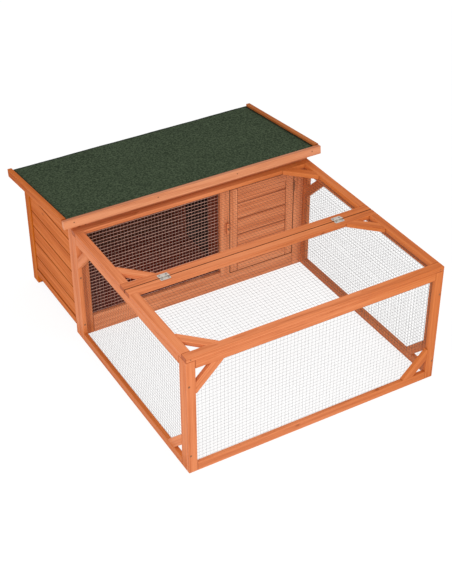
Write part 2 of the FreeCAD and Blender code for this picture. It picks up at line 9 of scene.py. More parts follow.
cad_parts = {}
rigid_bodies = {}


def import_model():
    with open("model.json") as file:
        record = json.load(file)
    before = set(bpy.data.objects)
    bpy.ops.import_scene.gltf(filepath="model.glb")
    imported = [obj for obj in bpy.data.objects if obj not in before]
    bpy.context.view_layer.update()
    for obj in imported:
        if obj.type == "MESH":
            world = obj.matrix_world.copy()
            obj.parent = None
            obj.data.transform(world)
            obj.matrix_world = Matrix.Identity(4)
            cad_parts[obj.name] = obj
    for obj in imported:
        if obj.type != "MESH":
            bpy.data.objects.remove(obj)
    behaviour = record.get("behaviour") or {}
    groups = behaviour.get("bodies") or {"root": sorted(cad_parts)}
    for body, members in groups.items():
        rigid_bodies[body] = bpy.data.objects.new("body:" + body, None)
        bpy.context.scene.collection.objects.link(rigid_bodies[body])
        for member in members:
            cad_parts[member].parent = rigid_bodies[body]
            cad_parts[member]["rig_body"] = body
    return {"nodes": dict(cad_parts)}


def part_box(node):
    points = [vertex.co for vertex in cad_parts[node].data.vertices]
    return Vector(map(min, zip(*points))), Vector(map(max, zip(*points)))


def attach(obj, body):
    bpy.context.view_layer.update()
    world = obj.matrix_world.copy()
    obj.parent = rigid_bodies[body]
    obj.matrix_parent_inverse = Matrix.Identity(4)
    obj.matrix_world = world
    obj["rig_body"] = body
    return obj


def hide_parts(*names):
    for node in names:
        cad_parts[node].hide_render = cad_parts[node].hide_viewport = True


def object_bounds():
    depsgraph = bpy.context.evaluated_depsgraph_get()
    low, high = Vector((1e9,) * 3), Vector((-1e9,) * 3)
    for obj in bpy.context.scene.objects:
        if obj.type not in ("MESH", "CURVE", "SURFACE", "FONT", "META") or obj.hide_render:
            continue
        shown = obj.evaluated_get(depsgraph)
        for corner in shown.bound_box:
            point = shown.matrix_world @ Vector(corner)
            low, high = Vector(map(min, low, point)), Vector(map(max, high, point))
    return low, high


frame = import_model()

CAD_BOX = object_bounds()

bl_info = {
    "name": "Guinea Pig Hutch",
    "version": (1, 0, 0),
    "blender": (4, 5, 0),
    "location": "View3D > Sidebar > Hutch",
    "description": "Dresses the hutch's solids in stained fir, welded net, felt and zinc",
    "category": "Object",
}

IMAGE_LONG_SIDE = 584
SENSOR = 36.0
X, Y, Z = 0, 1, 2
TIMBER_SEED = 11
NET_SEED = 23
WIRE_SIDES = 6
WIRE_SEGMENTS = 8
STAPLE_POINTS = 7
ROUND_STEPS = 3
ARC_STEPS = 8
SCREW_SIDES = 32
NAIL_SIDES = 16
KNUCKLE_SIDES = 24
PANEL_SIDES = ("front", "left", "right")
TOP_FRAMES = ("rear_frame", "lid")

timber_draw = np.random.default_rng(TIMBER_SEED)
net_draw = np.random.default_rng(NET_SEED)


# Settings


def length(name, description, default):
    """A setting that is a length in metres."""
    return FloatProperty(name=name, description=description, default=default, unit="LENGTH")


def tint(name, description, default):
    """A setting that is a colour."""
    return FloatVectorProperty(
        name=name, description=description, default=default, subtype="COLOR", min=0, max=1)


def power(name, description, default):
    """A setting that is a lamp's power in watts."""
    return FloatProperty(name=name, description=description, default=default, unit="POWER")


def share(name, description, default):
    """A setting that multiplies a colour's three parts."""
    return FloatVectorProperty(name=name, description=description, default=default, min=0)


class TimberSettings(bpy.types.PropertyGroup):
    """Sizes and stain of the hutch's timbers, and the painted light and shade on them."""

    edge_radius: length("Edge Radius", "Rounding of every planed edge", 0.0016)
    face_gap: length("Face Gap", "How far each timber stays inside its solid", 0.0002)
    brace_leg: length("Brace Leg", "Inner corner of a frame to its brace", 0.052)
    brace_width: length("Brace Width", "Width of a corner brace", 0.030)
    first_wall_board: length("First Wall Board", "Height of a wall's lowest board", 0.057)
    board_pitch: length("Board Pitch", "Height of a wall's other boards", 0.064)
    board_chamfer: length("Board Chamfer", "Bevel on a board's outer edges", 0.0025)
    first_door_board: length("First Door Board", "Height of the door's lowest board", 0.056)
    door_board_pitch: length("Door Board Pitch", "Height of the door's other boards", 0.065)
    stain_light: tint("Light Stain", "Earlywood under the stain", (0.73, 0.250, 0.100))
    stain_mid: tint("Middle Stain", "Main colour of the stained fir", (0.61, 0.180, 0.063))
    stain_dark: tint("Dark Stain", "Latewood and end grain", (0.34, 0.072, 0.018))
    # The deep stain is painted shade: a darker share of the stain where light falls off across the hutch.
    painted_falloff_share: share("Painted Falloff Shade", "Share of the stain where it went on thicker", (0.87, 0.74, 0.45))
    # Painted shade on the faces that look into the house, where little light falls.
    painted_indoor_shade: tint("Painted Indoor Shade", "Bare faces that look into the house", (0.064, 0.012, 0.004))
    # Painted shade: darker, deeper shares of the stain for the less-lit sides of the house and its wall
    # boards.
    house_painted_shade: share("House Painted Shade", "Share of the stain on the house's sides", (0.84, 0.70, 0.20))
    board_painted_shade: share("Board Painted Shade", "Share of the stain on the wall boards", (0.87, 0.74, 0.43))
    # Painted sheen: a paler, bluer share of the stain on the house front.
    front_painted_sheen: share("Front Painted Sheen", "Share of the stain on the house front", (1.00, 1.10, 1.25))
    door_stain: share("Door Stain", "Share of the stain on the door's boards", (0.96, 0.98, 1.02))
    # Painted sheen: a paler, bluer share of the stain on the fascia.
    fascia_painted_sheen: share("Fascia Painted Sheen", "Share of the stain on the fascia", (0.97, 1.14, 1.32))
    # Painted shade: darker shares of the stain on the battens, darkest on the far right batten.
    left_batten_painted_shade: share(
        "Left Batten Painted Shade", "Share of the stain on the roof's left batten", (0.84, 0.73, 0.47))
    right_batten_painted_shade: share(
        "Right Batten Painted Shade", "Share of the stain on the roof's right batten", (0.63, 0.58, 0.40))
    # Painted shade: darker shares of the stain on the left panel, and more on the right panel's shaded inner
    # faces.
    left_panel_painted_shade: share("Left Panel Painted Shade", "Share of the stain on the left panel", (0.97, 0.94, 0.87))
    right_panel_painted_shade: share("Right Panel Painted Shade", "Share of the stain on the right panel", (0.78, 0.72, 0.62))
    # Painted shade: dark shares of the stain on the partition, the deck and the house's floor, inside where
    # little light falls.
    inner_painted_shade: share("Inner Painted Shade", "Share of the stain on the partition", (0.42, 0.20, 0.12))
    floor_painted_shade: share("Floor Painted Shade", "Share of the stain on the house's floor", (0.34, 0.10, 0.05))


class NetSettings(bpy.types.PropertyGroup):
    """Welded wire of the run and the window, and its staples."""

    pitch: length("Pitch", "Width of one mesh", 0.0127)
    wire: length("Wire", "Diameter of the run's wires", 0.00050)
    window_wire: length("Window Wire", "Diameter of the window's wires", 0.00155)
    bow: length("Bow", "How far a wire strays from straight", 0.0005)
    staple_pitch: length("Staple Pitch", "Distance from staple to staple", 0.085)
    staple_end: length("Staple End", "End of a wire to its first staple", 0.016)
    staple_crown: length("Staple Crown", "Length of a staple's crown", 0.0056)
    staple_shift: length("Staple Shift", "Wire to the middle of its staples", 0.0015)
    staple_bite: length("Staple Bite", "Depth of a staple in the timber", 0.002)
    bite: FloatProperty(
        name="Bite", description="Share of a wire's diameter from layer to layer", default=0.9)
    # The run's wire colour is darkened as painted shade, for the shaded sides of wires seen against the
    # bright floor.
    colour: tint("Wire Colour", "Galvanised wire of the run", (0.070, 0.058, 0.054))
    # The window's level wires are a pale, warm copy of the wire: painted light and painted reflection of the
    # orange timber.
    window_painted_light: tint("Window Wire Painted Light", "Level wires of the window", (1.0, 0.56, 0.43))
    # The window's upright wires take a darker share as painted shade, since the light from above reaches them
    # less.
    upright_painted_shade: FloatProperty(
        name="Upright Painted Shade", description="Share of that colour on the window's upright wires", default=0.28)


class RoofSettings(bpy.types.PropertyGroup):
    """Mineral felt on the roof."""

    ripple: length("Ripple", "Unevenness of the felt", 0.0006)
    felt_dark: tint("Dark Granules", "Bitumen and dark green granules", (0.009, 0.018, 0.007))
    felt_light: tint("Light Granules", "Light green granules", (0.070, 0.097, 0.053))


class HardwareSettings(bpy.types.PropertyGroup):
    """Hinges, screws and nails."""

    hinge_length: length("Hinge Length", "Length of a lid hinge", 0.036)
    hinge_leaf: length("Hinge Leaf", "Thickness of a lid hinge's leaf", 0.0012)
    hinge_corner: length("Hinge Corner", "Rounding of a leaf's corners", 0.004)
    hinge_edge: length("Hinge Edge", "Rounding of a leaf's edges", 0.0003)
    knuckle_gap: length("Knuckle Gap", "Half the gap between two knuckles", 0.00018)
    hinge_screw: length("Hinge Screw", "Radius of a hinge screw's head", 0.0031)
    nail_head: length("Nail Head", "Radius of a nail's head", 0.0023)
    stile_nail_low: length("Lower Stile Nail", "Ground to the lower nail of a rear stile", 0.010)
    stile_nail_high: length("Upper Stile Nail", "Ground to the upper nail of a rear stile", 0.048)
    zinc: tint("Zinc", "Plated hinges", (0.68, 0.63, 0.57))
    screw_steel: tint("Screw Steel", "Dull screws", (0.30, 0.28, 0.25))
    nail_steel: tint("Nail Steel", "Dull nail heads under the stain", (0.30, 0.12, 0.05))


class StageSettings(bpy.types.PropertyGroup):
    """Floor, light and camera."""

    camera_place: FloatVectorProperty(
        name="Camera Place", description="Where the camera stands", default=(-1.70980, -3.02976, 2.63042),
        subtype="XYZ", unit="LENGTH")
    azimuth: FloatProperty(
        name="Azimuth", description="Turn of the view to the right of +Y", default=math.radians(29.8609),
        unit="ROTATION")
    drop: FloatProperty(
        name="Drop", description="Fall of the view below the horizon", default=math.radians(35.7858),
        unit="ROTATION")
    roll: FloatProperty(
        name="Roll", description="Lean of the camera", default=math.radians(-0.2783), unit="ROTATION")
    focal_pixels: FloatProperty(
        name="Focal Length", description="Focal length in pixels of the photograph's frame", default=1247.12)
    floor_size: length("Floor Size", "Half the floor's side", 14.0)
    floor_colour: tint("Floor Colour", "Pale studio floor", (0.15, 0.15, 0.15))
    floor_glow: FloatProperty(name="Floor Glow", description="Light that the floor gives off", default=0.88)
    sky: FloatProperty(name="Sky", description="Strength of the white surroundings", default=0.82)
    key_place: FloatVectorProperty(
        name="Key Place", description="Where the key light hangs", default=(-2.3, -2.4, 2.3),
        subtype="XYZ", unit="LENGTH")
    key_power: power("Key Power", "Power of the key light", 57.0)
    fill_place: FloatVectorProperty(
        name="Fill Place", description="Where the fill light hangs", default=(2.2, -3.0, 2.6),
        subtype="XYZ", unit="LENGTH")
    fill_power: power("Fill Power", "Power of the fill light", 28.0)
    light_size: length("Light Size", "Side of each soft light", 2.0)


class HutchSettings(bpy.types.PropertyGroup):
    """All settings of the hutch."""

    timber: PointerProperty(type=TimberSettings, name="Timber", description="Timbers and stain")
    net: PointerProperty(type=NetSettings, name="Net", description="Welded wire")
    roof: PointerProperty(type=RoofSettings, name="Roof", description="Felt")
    hardware: PointerProperty(type=HardwareSettings, name="Hardware", description="Hinges and fasteners")
    stage: PointerProperty(type=StageSettings, name="Stage", description="Floor, light and camera")


def settings():
    """The hutch's settings on the current scene."""
    return bpy.context.scene.hutch


# Places read from the frame


def box_of(node):
    """Lowest and highest corner of a node, as arrays."""
    low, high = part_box(node)
    return np.array(low), np.array(high)


def size_of(node):
    """Sizes of a node's box."""
    low, high = box_of(node)
    return high - low


def points_of(node):
    """Every point of a node's solids, one row each."""
    mesh = frame["nodes"][node].data
    points = np.empty(3 * len(mesh.vertices), np.float32)
    mesh.vertices.foreach_get("co", points)
    return points.reshape(-1, 3).astype(float)


POST_LOW, POST_HIGH = box_of("front_left_post")
REAR_LOW, REAR_HIGH = box_of("rear_left_post")
ROOF_ORIGIN = np.array([0.0, POST_LOW[Y], POST_HIGH[Z]])
ROOF_SLOPE = math.atan2(POST_HIGH[Z] - REAR_HIGH[Z], REAR_LOW[Y] - POST_LOW[Y])
ROOF_TURN = np.array([
    [1.0, 0.0, 0.0],
    [0.0, math.cos(ROOF_SLOPE), math.sin(ROOF_SLOPE)],
    [0.0, -math.sin(ROOF_SLOPE), math.cos(ROOF_SLOPE)],
])
STOCK_WIDTH = (size_of("front_panel_stiles")[X] - size_of("front_panel_rails")[X]) / 2
NET_EDGE = box_of("front_panel_net")[0][X] - box_of("front_panel_stiles")[0][X]


def roof_box(node):
    """Lowest and highest corner of a roof piece in the roof's frame: across, down the slope, off the deck."""
    points = (points_of(node) - ROOF_ORIGIN) @ ROOF_TURN
    return points.min(axis=0), points.max(axis=0)


def roof_underside(y):
    """Height of the deck's underside at a place along Y: a straight fall from the house front."""
    return ROOF_ORIGIN[Z] - (y - ROOF_ORIGIN[Y]) * math.tan(ROOF_SLOPE)


# Surfaces worked out as whole arrays


def grid_faces(index):
    """Faces of grids of point numbers, rows by columns, whose columns close into a ring.

    Each cell is a quad; where two of its points are one, as at a pole, it is a triangle. They come as arrays
    of one face to a row.
    """
    low, high = index[..., :-1, :], index[..., 1:, :]
    corners = [low, np.roll(low, -1, axis=-1), np.roll(high, -1, axis=-1), high]
    cells = np.stack(corners, axis=-1).reshape(-1, 4)
    shut_low = cells[:, 0] == cells[:, 1]
    shut_high = cells[:, 2] == cells[:, 3]
    quads = cells[~shut_low & ~shut_high]
    over_pole = cells[shut_low & ~shut_high][:, [0, 2, 3]]
    under_pole = cells[shut_high & ~shut_low][:, [0, 1, 2]]
    return [quads, over_pole, under_pole]


def unit(vectors):
    """The vectors at length one."""
    return vectors / np.linalg.norm(vectors, axis=-1, keepdims=True)


def rounded_prism(outline, span, radius):
    """A convex outline carried along the third axis over a span, with every edge rounded.

    Each point is an inner corner plus the radius times a direction: the direction turns from one side's
    normal to the next around the outline, and from one end's normal to the other along the span.
    """
    corners = np.asarray(outline, float)
    side = unit(np.roll(corners, -1, axis=0) - corners)
    after = np.stack([side[:, 1], -side[:, 0]], axis=1)
    before = np.roll(after, 1, axis=0)
    inner = corners - radius * (before + after) / (1 + (before * after).sum(axis=1, keepdims=True))
    part = np.linspace(0, 1, ROUND_STEPS + 1)[None, :, None]
    around = unit(before[:, None] * (1 - part) + after[:, None] * part).reshape(-1, 2)
    base = np.repeat(inner, ROUND_STEPS + 1, axis=0)
    quarter = np.linspace(0, math.pi / 2, ROUND_STEPS + 1)[:-1]
    tilt = np.concatenate([-quarter[::-1], quarter])
    level = np.repeat([span[0] + radius, span[1] - radius], ROUND_STEPS)
    rows, columns, count = len(tilt), len(base), len(corners)
    direction = np.empty((rows, columns, 3))
    direction[..., :2] = np.cos(tilt)[:, None, None] * around
    direction[..., 2] = np.sin(tilt)[:, None]
    centre = np.empty((rows, columns, 3))
    centre[..., :2] = base
    centre[..., 2] = level[:, None]
    ring_points = (centre + radius * direction).reshape(-1, 3)
    low_cap = np.column_stack([inner, np.full(count, span[0])])
    high_cap = np.column_stack([inner, np.full(count, span[1])])
    up = np.tile([0.0, 0.0, 1.0], (count, 1))
    points = np.concatenate([low_cap, ring_points, high_cap])
    normals = np.concatenate([-up, direction.reshape(-1, 3), up])
    pole = np.repeat(np.arange(count), ROUND_STEPS + 1)
    ring = count + np.arange(rows * columns).reshape(rows, columns)
    top = count + rows * columns
    faces = grid_faces(np.vstack([pole, ring, top + pole]))
    cap = np.arange(count)[None]
    return points, normals, faces + [cap[:, ::-1], top + cap]


def turned_profile(radii, heights, sides):
    """A profile of radii and heights turned about the third axis, closed at both ends on the axis."""
    radii, heights = np.asarray(radii, float), np.asarray(heights, float)
    angle = np.linspace(0, 2 * math.pi, sides, endpoint=False)
    rings = np.empty((len(radii), sides, 3))
    rings[..., 0] = radii[:, None] * np.cos(angle)
    rings[..., 1] = radii[:, None] * np.sin(angle)
    rings[..., 2] = heights[:, None]
    points = np.concatenate([[[0, 0, heights[0]]], rings.reshape(-1, 3), [[0, 0, heights[-1]]]])
    ring = 1 + np.arange(rings.size // 3).reshape(len(radii), sides)
    faces = grid_faces(np.vstack([np.zeros(sides, int), ring, np.full(sides, len(points) - 1)]))
    return points, faces


def wires_along(paths, normal, radius):
    """Round wires along a stack of paths that lie in planes with one normal.

    Each point of a path carries a ring: the radius times an angle's cosine along the path's sideways
    direction, plus the radius times its sine along the normal. Both ends are closed.
    """
    sideways = np.cross(normal, unit(np.gradient(paths, axis=1)))
    angle = np.linspace(0, 2 * math.pi, WIRE_SIDES, endpoint=False)[:, None]
    ring = np.cos(angle) * sideways[:, :, None] + np.sin(angle) * normal
    points = paths[:, :, None] + radius * ring
    index = np.arange(points.size // 3).reshape(points.shape[:3])
    faces = grid_faces(index) + [index[:, 0, ::-1], index[:, -1]]
    return points.reshape(-1, 3), faces, ring.reshape(-1, 3)


def stadium(half_length, radius):
    """A slot's outline along the first axis: two half circles joined by straight sides."""
    angle = np.linspace(-math.pi / 2, math.pi / 2, ARC_STEPS + 1)
    end = np.column_stack([half_length - radius + radius * np.cos(angle), radius * np.sin(angle)])
    return np.concatenate([end, -end])


def rounded_rectangle(low, high, radius):
    """A rectangle's outline whose corners are quarter circles."""
    low, high = np.asarray(low, float), np.asarray(high, float)
    signs = np.array([[1, 1], [-1, 1], [-1, -1], [1, -1]])
    centres = np.where(signs > 0, high - radius, low + radius)
    quarter = np.linspace(0, math.pi / 2, ARC_STEPS // 2 + 1)
    angle = quarter[None, :] + np.arange(4)[:, None] * math.pi / 2
    arcs = radius * np.stack([np.cos(angle), np.sin(angle)], axis=-1)
    return (centres[:, None] + arcs).reshape(-1, 2)


def on_axis(values, axis):
    """Turn rows of (outline, outline, span) so that the span lies along a world axis."""
    return np.roll(values, axis + 1, axis=1)


def outline_axes(axis):
    """The two world axes of an outline that is carried along the axis given."""
    return (axis + 1) % 3, (axis + 2) % 3


def laid_to(points, direction):
    """Turn points that stand along +Z so that they stand along a direction."""
    turn = Vector((0, 0, 1)).rotation_difference(Vector(direction)).to_matrix()
    return points @ np.array(turn).T


class Surface:
    """Points, normals, faces and point values of one piece, gathered part by part."""

    def __init__(self):
        self.points = []
        self.normals = []
        self.faces = []
        self.values = {}
        self.count = 0

    def add(self, points, faces, normals=None, **values):
        """Add a part. Its faces are arrays of point numbers, counted from the part's first point."""
        self.points.append(points)
        self.normals.append(normals)
        for rows in faces:
            self.faces += (rows + self.count).tolist()
        for name, rows in values.items():
            rows = np.broadcast_to(rows, (len(points),) + np.shape(rows)[1:])
            self.values.setdefault(name, []).append(rows)
        self.count += len(points)

    def timber(self, outline, span, axis, turn=None, fit=None, radius=None):
        """Add one timber: an outline carried along a world axis, with every edge rounded.

        The grain runs along that axis, or in the outline's plane where a turn from its first axis is given.
        The point values are the place from the timber's own middle (along, across and through the grain),
        its half sizes in that order, and a number of its own.
        """
        radius = settings().timber.edge_radius if radius is None else radius
        points, normals, faces = rounded_prism(outline, span, radius)
        middle = (points.min(axis=0) + points.max(axis=0)) / 2
        own = points - middle
        if turn is None:
            own = np.roll(own, 1, axis=1)
        else:
            c, s = math.cos(turn), math.sin(turn)
            own = own @ np.array([[c, -s, 0], [s, c, 0], [0, 0, 1]])
        half = np.abs(own).max(axis=0)
        points, normals = on_axis(points, axis), on_axis(normals, axis)
        if fit is not None:
            points, normals = fit(points, normals)
        self.add(points, faces, normals, grain=own, half=half[None], tone=timber_draw.random(1))

    def beam(self, low, high, axis, fit=None):
        """Add a straight timber between two corners, with its grain along an axis."""
        gap = settings().timber.face_gap
        low, high = np.asarray(low) + gap, np.asarray(high) - gap
        u, v = outline_axes(axis)
        outline = [(low[u], low[v]), (high[u], low[v]), (high[u], high[v]), (low[u], high[v])]
        self.timber(outline, (low[axis], high[axis]), axis, fit=fit)

    def piece(self, name, node, slot, material, replaces=True):
        """Make the object with its finish, on the node's body, in place of the node or beside it."""
        mesh = bpy.data.meshes.new(name)
        mesh.from_pydata(np.concatenate(self.points).tolist(), [], self.faces)
        mesh.polygons.foreach_set("use_smooth", np.ones(len(mesh.polygons), bool))
        if all(rows is not None for rows in self.normals):
            mesh.normals_split_custom_set_from_vertices(np.concatenate(self.normals).tolist())
        for label, rows in self.values.items():
            rows = np.concatenate(rows).astype(np.float32)
            kind, key = ("FLOAT_VECTOR", "vector") if rows.ndim == 2 else ("FLOAT", "value")
            mesh.attributes.new(label, kind, "POINT").data.foreach_set(key, rows.ravel())
        mesh.materials.append(material)
        mesh.update()
        made = bpy.data.objects.new(name, mesh)
        bpy.context.scene.collection.objects.link(made)
        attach(made, frame["nodes"][node]["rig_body"])
        if replaces:
            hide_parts(node)


# Finishes


WHITE = (1.0, 1.0, 1.0, 1.0)

# Sockets of a Mix node on colours: its factor, its two colours, and its result
MIX_FACTOR, MIX_FIRST, MIX_SECOND, MIX_RESULT = 0, 6, 7, 2


class Value:
    """A socket of a material's nodes. Arithmetic on values adds Math nodes."""

    def __init__(self, tree, socket=None):
        self.tree = tree
        self.socket = socket

    def node(self, kind, setting=None, sockets=None, out=0):
        """Add a node of a type: its settings first, then a value or a link for each socket."""
        made = self.tree.nodes.new("ShaderNode" + kind)
        for name, value in (setting or {}).items():
            setattr(made, name, value)
        for name, value in (sockets or {}).items():
            if isinstance(value, Value):
                self.tree.links.new(value.socket, made.inputs[name])
            else:
                made.inputs[name].default_value = value
        return Value(self.tree, made.outputs[out])

    def other(self, out):
        """Another output of the same node."""
        return Value(self.tree, self.socket.node.outputs[out])

    def place(self):
        """Where a point lies in the hutch."""
        return self.node("TexCoord", out="Object")

    def stored(self, name, out="Fac"):
        """A value that a piece keeps at its points."""
        return self.node("Attribute", {"attribute_name": name}, out=out)

    def math(self, operation, *values):
        """A Math node on the values given."""
        return self.node("Math", {"operation": operation}, dict(enumerate(values)))

    def __add__(self, other):
        return self.math("ADD", self, other)

    __radd__ = __add__

    def __sub__(self, other):
        return self.math("SUBTRACT", self, other)

    def __rsub__(self, other):
        return self.math("SUBTRACT", other, self)

    def __mul__(self, other):
        return self.math("MULTIPLY", self, other)

    __rmul__ = __mul__

    def __truediv__(self, other):
        return self.math("DIVIDE", self, other)

    def __rtruediv__(self, other):
        return self.math("DIVIDE", other, self)

    def __mod__(self, other):
        return self.math("MODULO", self, other)

    def __pow__(self, other):
        return self.math("POWER", self, other)

    def __abs__(self):
        return self.math("ABSOLUTE", self)

    def least(self, other):
        """The lesser of two values."""
        return self.math("MINIMUM", self, other)

    def most(self, other):
        """The greater of two values."""
        return self.math("MAXIMUM", self, other)

    def step(self, start, end):
        """Nought at start, one at end, and smooth between."""
        sockets = {"Value": self, "From Min": start, "From Max": end}
        return self.node("MapRange", {"interpolation_type": "SMOOTHSTEP"}, sockets)

    def axes(self):
        """The three numbers of a place."""
        parts = self.node("SeparateXYZ", None, {"Vector": self})
        return [parts.other(axis) for axis in "XYZ"]

    def stretched(self, *scale):
        """A place with its three numbers multiplied."""
        return self.node("VectorMath", {"operation": "MULTIPLY"}, {0: self, 1: scale})

    def moved(self, other):
        """A place moved by another."""
        return self.node("VectorMath", {"operation": "ADD"}, {0: self, 1: other})

    def noise(self, scale=1.0, detail=3.0, roughness=0.55):
        """Cloudy noise at a place, about one half on average."""
        sockets = {"Vector": self, "Scale": scale, "Detail": detail, "Roughness": roughness}
        return self.node("TexNoise", None, sockets)

    def cells(self, scale=1.0):
        """The cell that a place lies in: its distance from the cell's middle, and the cell's own number."""
        near = self.node("TexVoronoi", None, {"Vector": self, "Scale": scale}, out="Distance")
        return near, near.node("SeparateColor", None, {"Color": near.other("Color")})

    def times(self, part):
        """One where this value is nought, and a part where it is one, to multiply a colour by."""
        return self.mix(WHITE, colour(part))

    def tinted(self, other):
        """A colour multiplied by another."""
        setting = {"data_type": "RGBA", "blend_type": "MULTIPLY"}
        sockets = {MIX_FACTOR: 1.0, MIX_FIRST: self, MIX_SECOND: other}
        return self.node("Mix", setting, sockets, MIX_RESULT)

    def mix(self, first, second):
        """One colour where this value is nought, the other where it is one."""
        sockets = {MIX_FACTOR: self, MIX_FIRST: first, MIX_SECOND: second}
        return self.node("Mix", {"data_type": "RGBA"}, sockets, MIX_RESULT)


def colour(rgb, part=1.0):
    """A colour, or a part of it, with its alpha."""
    return (*(np.array(rgb) * part).tolist(), 1.0)


def finish(name, build):
    """A material whose colour, roughness, metal and bump come from a function of its nodes."""
    material = bpy.data.materials.new(name)
    material.use_nodes = True
    tree = material.node_tree
    shader = tree.nodes["Principled BSDF"]
    for socket, value in build(Value(tree)).items():
        if isinstance(value, Value):
            tree.links.new(value.socket, shader.inputs[socket])
        else:
            shader.inputs[socket].default_value = value
    return material


def bump(height, distance, strength):
    """A Bump node's normal from a height between nought and one."""
    return height.node("Bump", None, {"Strength": strength, "Distance": distance, "Height": height})


# Fir grain: noise stretched along, across and through a timber, rings about a pith, and knots
TONE_SHIFT = {"X": 8.3, "Y": 3.7, "Z": 5.3}
STREAK_STRETCH = (2.0, 55.0, 55.0)
STREAK_DETAIL = 4.0
FIBRE_STRETCH = (16.0, 800.0, 800.0)
WARP_STRETCH = (2.6, 16.0, 16.0)
FINE_DETAIL = 2.0
KNOT_STRETCH = (13.0, 26.0, 26.0)
KNOT_REACH = (0.05, 0.17)
KNOT_CHOICE = (0.945, 0.955)
PITH_SPREAD_ACROSS = 0.07
PITH_SPREAD_THROUGH = 0.05
PITH_DEPTH = 0.018
RING_WIDTH = 0.0042
RING_WARP = 0.014
RING_SHARPNESS = 2.5
SHEET_TONE = 0.4

# How the grain takes the stain: bands of a mask from nought to one, and the parts that they add
STREAK_BAND = (0.34, 0.68)
STREAK_PART = 0.50
FIBRE_BAND = (0.3, 0.7)
FIBRE_PART = 0.26
RING_PART = 0.30
MIDDLE_BAND = (0.05, 0.62)
DARK_BAND = (0.52, 1.02)
DARK_PART = 0.85
TONE_CYCLES = 7.3
TONE_PART = 0.25
KNOT_PART = 0.5
# Dark stain for knots, also used as painted shade in the board grooves
POOLED_AND_SHADED_PART = 0.6

# Edges, ends and tops of a timber: distances in metres, and the part of the darker or paler colour.
# The dark grooves are pooled stain with painted shade, the paler edges wear with a painted highlight,
# and the darker top painted shade
GROOVE_REACH = (0.0014, 0.0030)
GROOVE_PART = 0.75
# The paler edges are wear with a painted highlight along them.
WEAR_AND_HIGHLIGHT_REACH = (0.0004, 0.0030)
WEAR_AND_HIGHLIGHT_BAND = (0.35, 0.6)
WEAR_AND_HIGHLIGHT_PART = 0.35
END_REACH = (0.0006, 0.0016)
END_PART = 0.8
FASCIA_END_PART = 0.1
# The darker top is painted shade on a timber's top face.
TOP_DEPTH = (0.0003, 0.0014)
TOP_PART = 0.5

# Painted shade: darker stain where light falls off to the right, near the ground and towards the rear,
# and shade where no light falls, inside the house, beside the door's gap and in the lid's joint.
# Places in metres, and parts of the shade
RIGHT_REACH = (-0.10, 0.455)
GROUND_REACH = (0.020, 0.070)
REAR_REACH = (0.03, 0.42)
REAR_PART = 0.7
INDOOR_DEPTH = (0.012, 0.014)
INDOOR_PART = 0.9
ROOM_PART = 0.95
ROOM_SHADE = 0.5
JOINT_REACH = (0.0013, 0.0030)
JOINT_DEPTH = (0.0002, 0.0012)
GAP_REACH = (0.0022, 0.0040)
GAP_DEPTH = (0.0006, 0.0022)
GAP_PART = 0.92
GAP_SHADE = 0.08

# Gloss and relief of the fir
PLANED_GLOSS = 0.15
DULL_GLOSS = 0.03
INNER_GLOSS = 0.1
DOOR_GLOSS = 0.2
FASCIA_GLOSS = 0.4
FIR_ROUGHNESS = 0.46
GRAIN_ROUGHNESS = 0.18
GRAIN_RELIEF = 0.00025
GRAIN_BUMP = 0.55


def fir_grain(place, tone):
    """Streaks, fibres, growth rings and knots at a place in a timber.

    Streaks and fibres are noise drawn out along the grain. Rings are the distance from a pith beside the
    timber, warped a little and cut into bands that darken slowly and end sharply. A knot is the middle of
    one cell in twenty.
    """
    shift = place.node("CombineXYZ", None, {axis: tone * far for axis, far in TONE_SHIFT.items()})
    shifted = place.moved(shift)
    streaks = shifted.stretched(*STREAK_STRETCH).noise(detail=STREAK_DETAIL)
    fibres = shifted.stretched(*FIBRE_STRETCH).noise(detail=FINE_DETAIL)
    warp = shifted.stretched(*WARP_STRETCH).noise(detail=FINE_DETAIL)
    near, number = shifted.stretched(*KNOT_STRETCH).cells()
    knots = (1 - near.step(*KNOT_REACH)) * number.step(*KNOT_CHOICE)
    _, across, through = place.axes()
    across = across + (tone - 0.5) * PITH_SPREAD_ACROSS
    through = through + (tone * PITH_SPREAD_THROUGH + PITH_DEPTH)
    radius = (across * across + through * through) ** 0.5 + warp * RING_WARP
    return streaks, fibres, (radius / RING_WIDTH % 1.0) ** RING_SHARPNESS, knots


def edge_distance(place, half):
    """How far a place on a timber lies from its nearest edge, and from its nearest end.

    Of the three distances to the sides, the least is nought on the surface, and the middle one is the
    distance to the edge.
    """
    along, across, through = (whole - abs(here) for here, whole in zip(place.axes(), half.axes()))
    return along.least(across).most(along.most(across).least(through)), along


def indoors(start):
    """One on faces that look into the house, nought outside, by their depth behind the walls' outer faces."""
    x, y, _ = start.place().axes()
    behind_side = -float(POST_LOW[X]) - abs(x)
    behind_rear = float(REAR_HIGH[Y]) - y
    return behind_side.step(*INDOOR_DEPTH) * behind_rear.step(*INDOOR_DEPTH)


# The three masks below place painted shade where light falls off: to the right, near the ground and towards
# the rear.
def to_right(start):
    """Nought at the hutch's left, one at its right end, and smooth between."""
    return start.place().axes()[X].step(*RIGHT_REACH)


def to_ground(start):
    """One near the ground, nought higher up."""
    return 1 - start.place().axes()[Z].step(*GROUND_REACH)


def to_rear(start):
    """Nought at the house front, most at the rear wall, and smooth between."""
    behind = start.place().axes()[Y] - float(POST_LOW[Y])
    return behind.step(*REAR_REACH) * REAR_PART


def sleeping_room(start):
    """One on indoor faces beyond the partition, where no window gives light, and nought elsewhere."""
    beyond = start.place().axes()[X] - float(box_of("partition_boards")[0][X])
    return indoors(start) * beyond.step(*INDOOR_DEPTH)


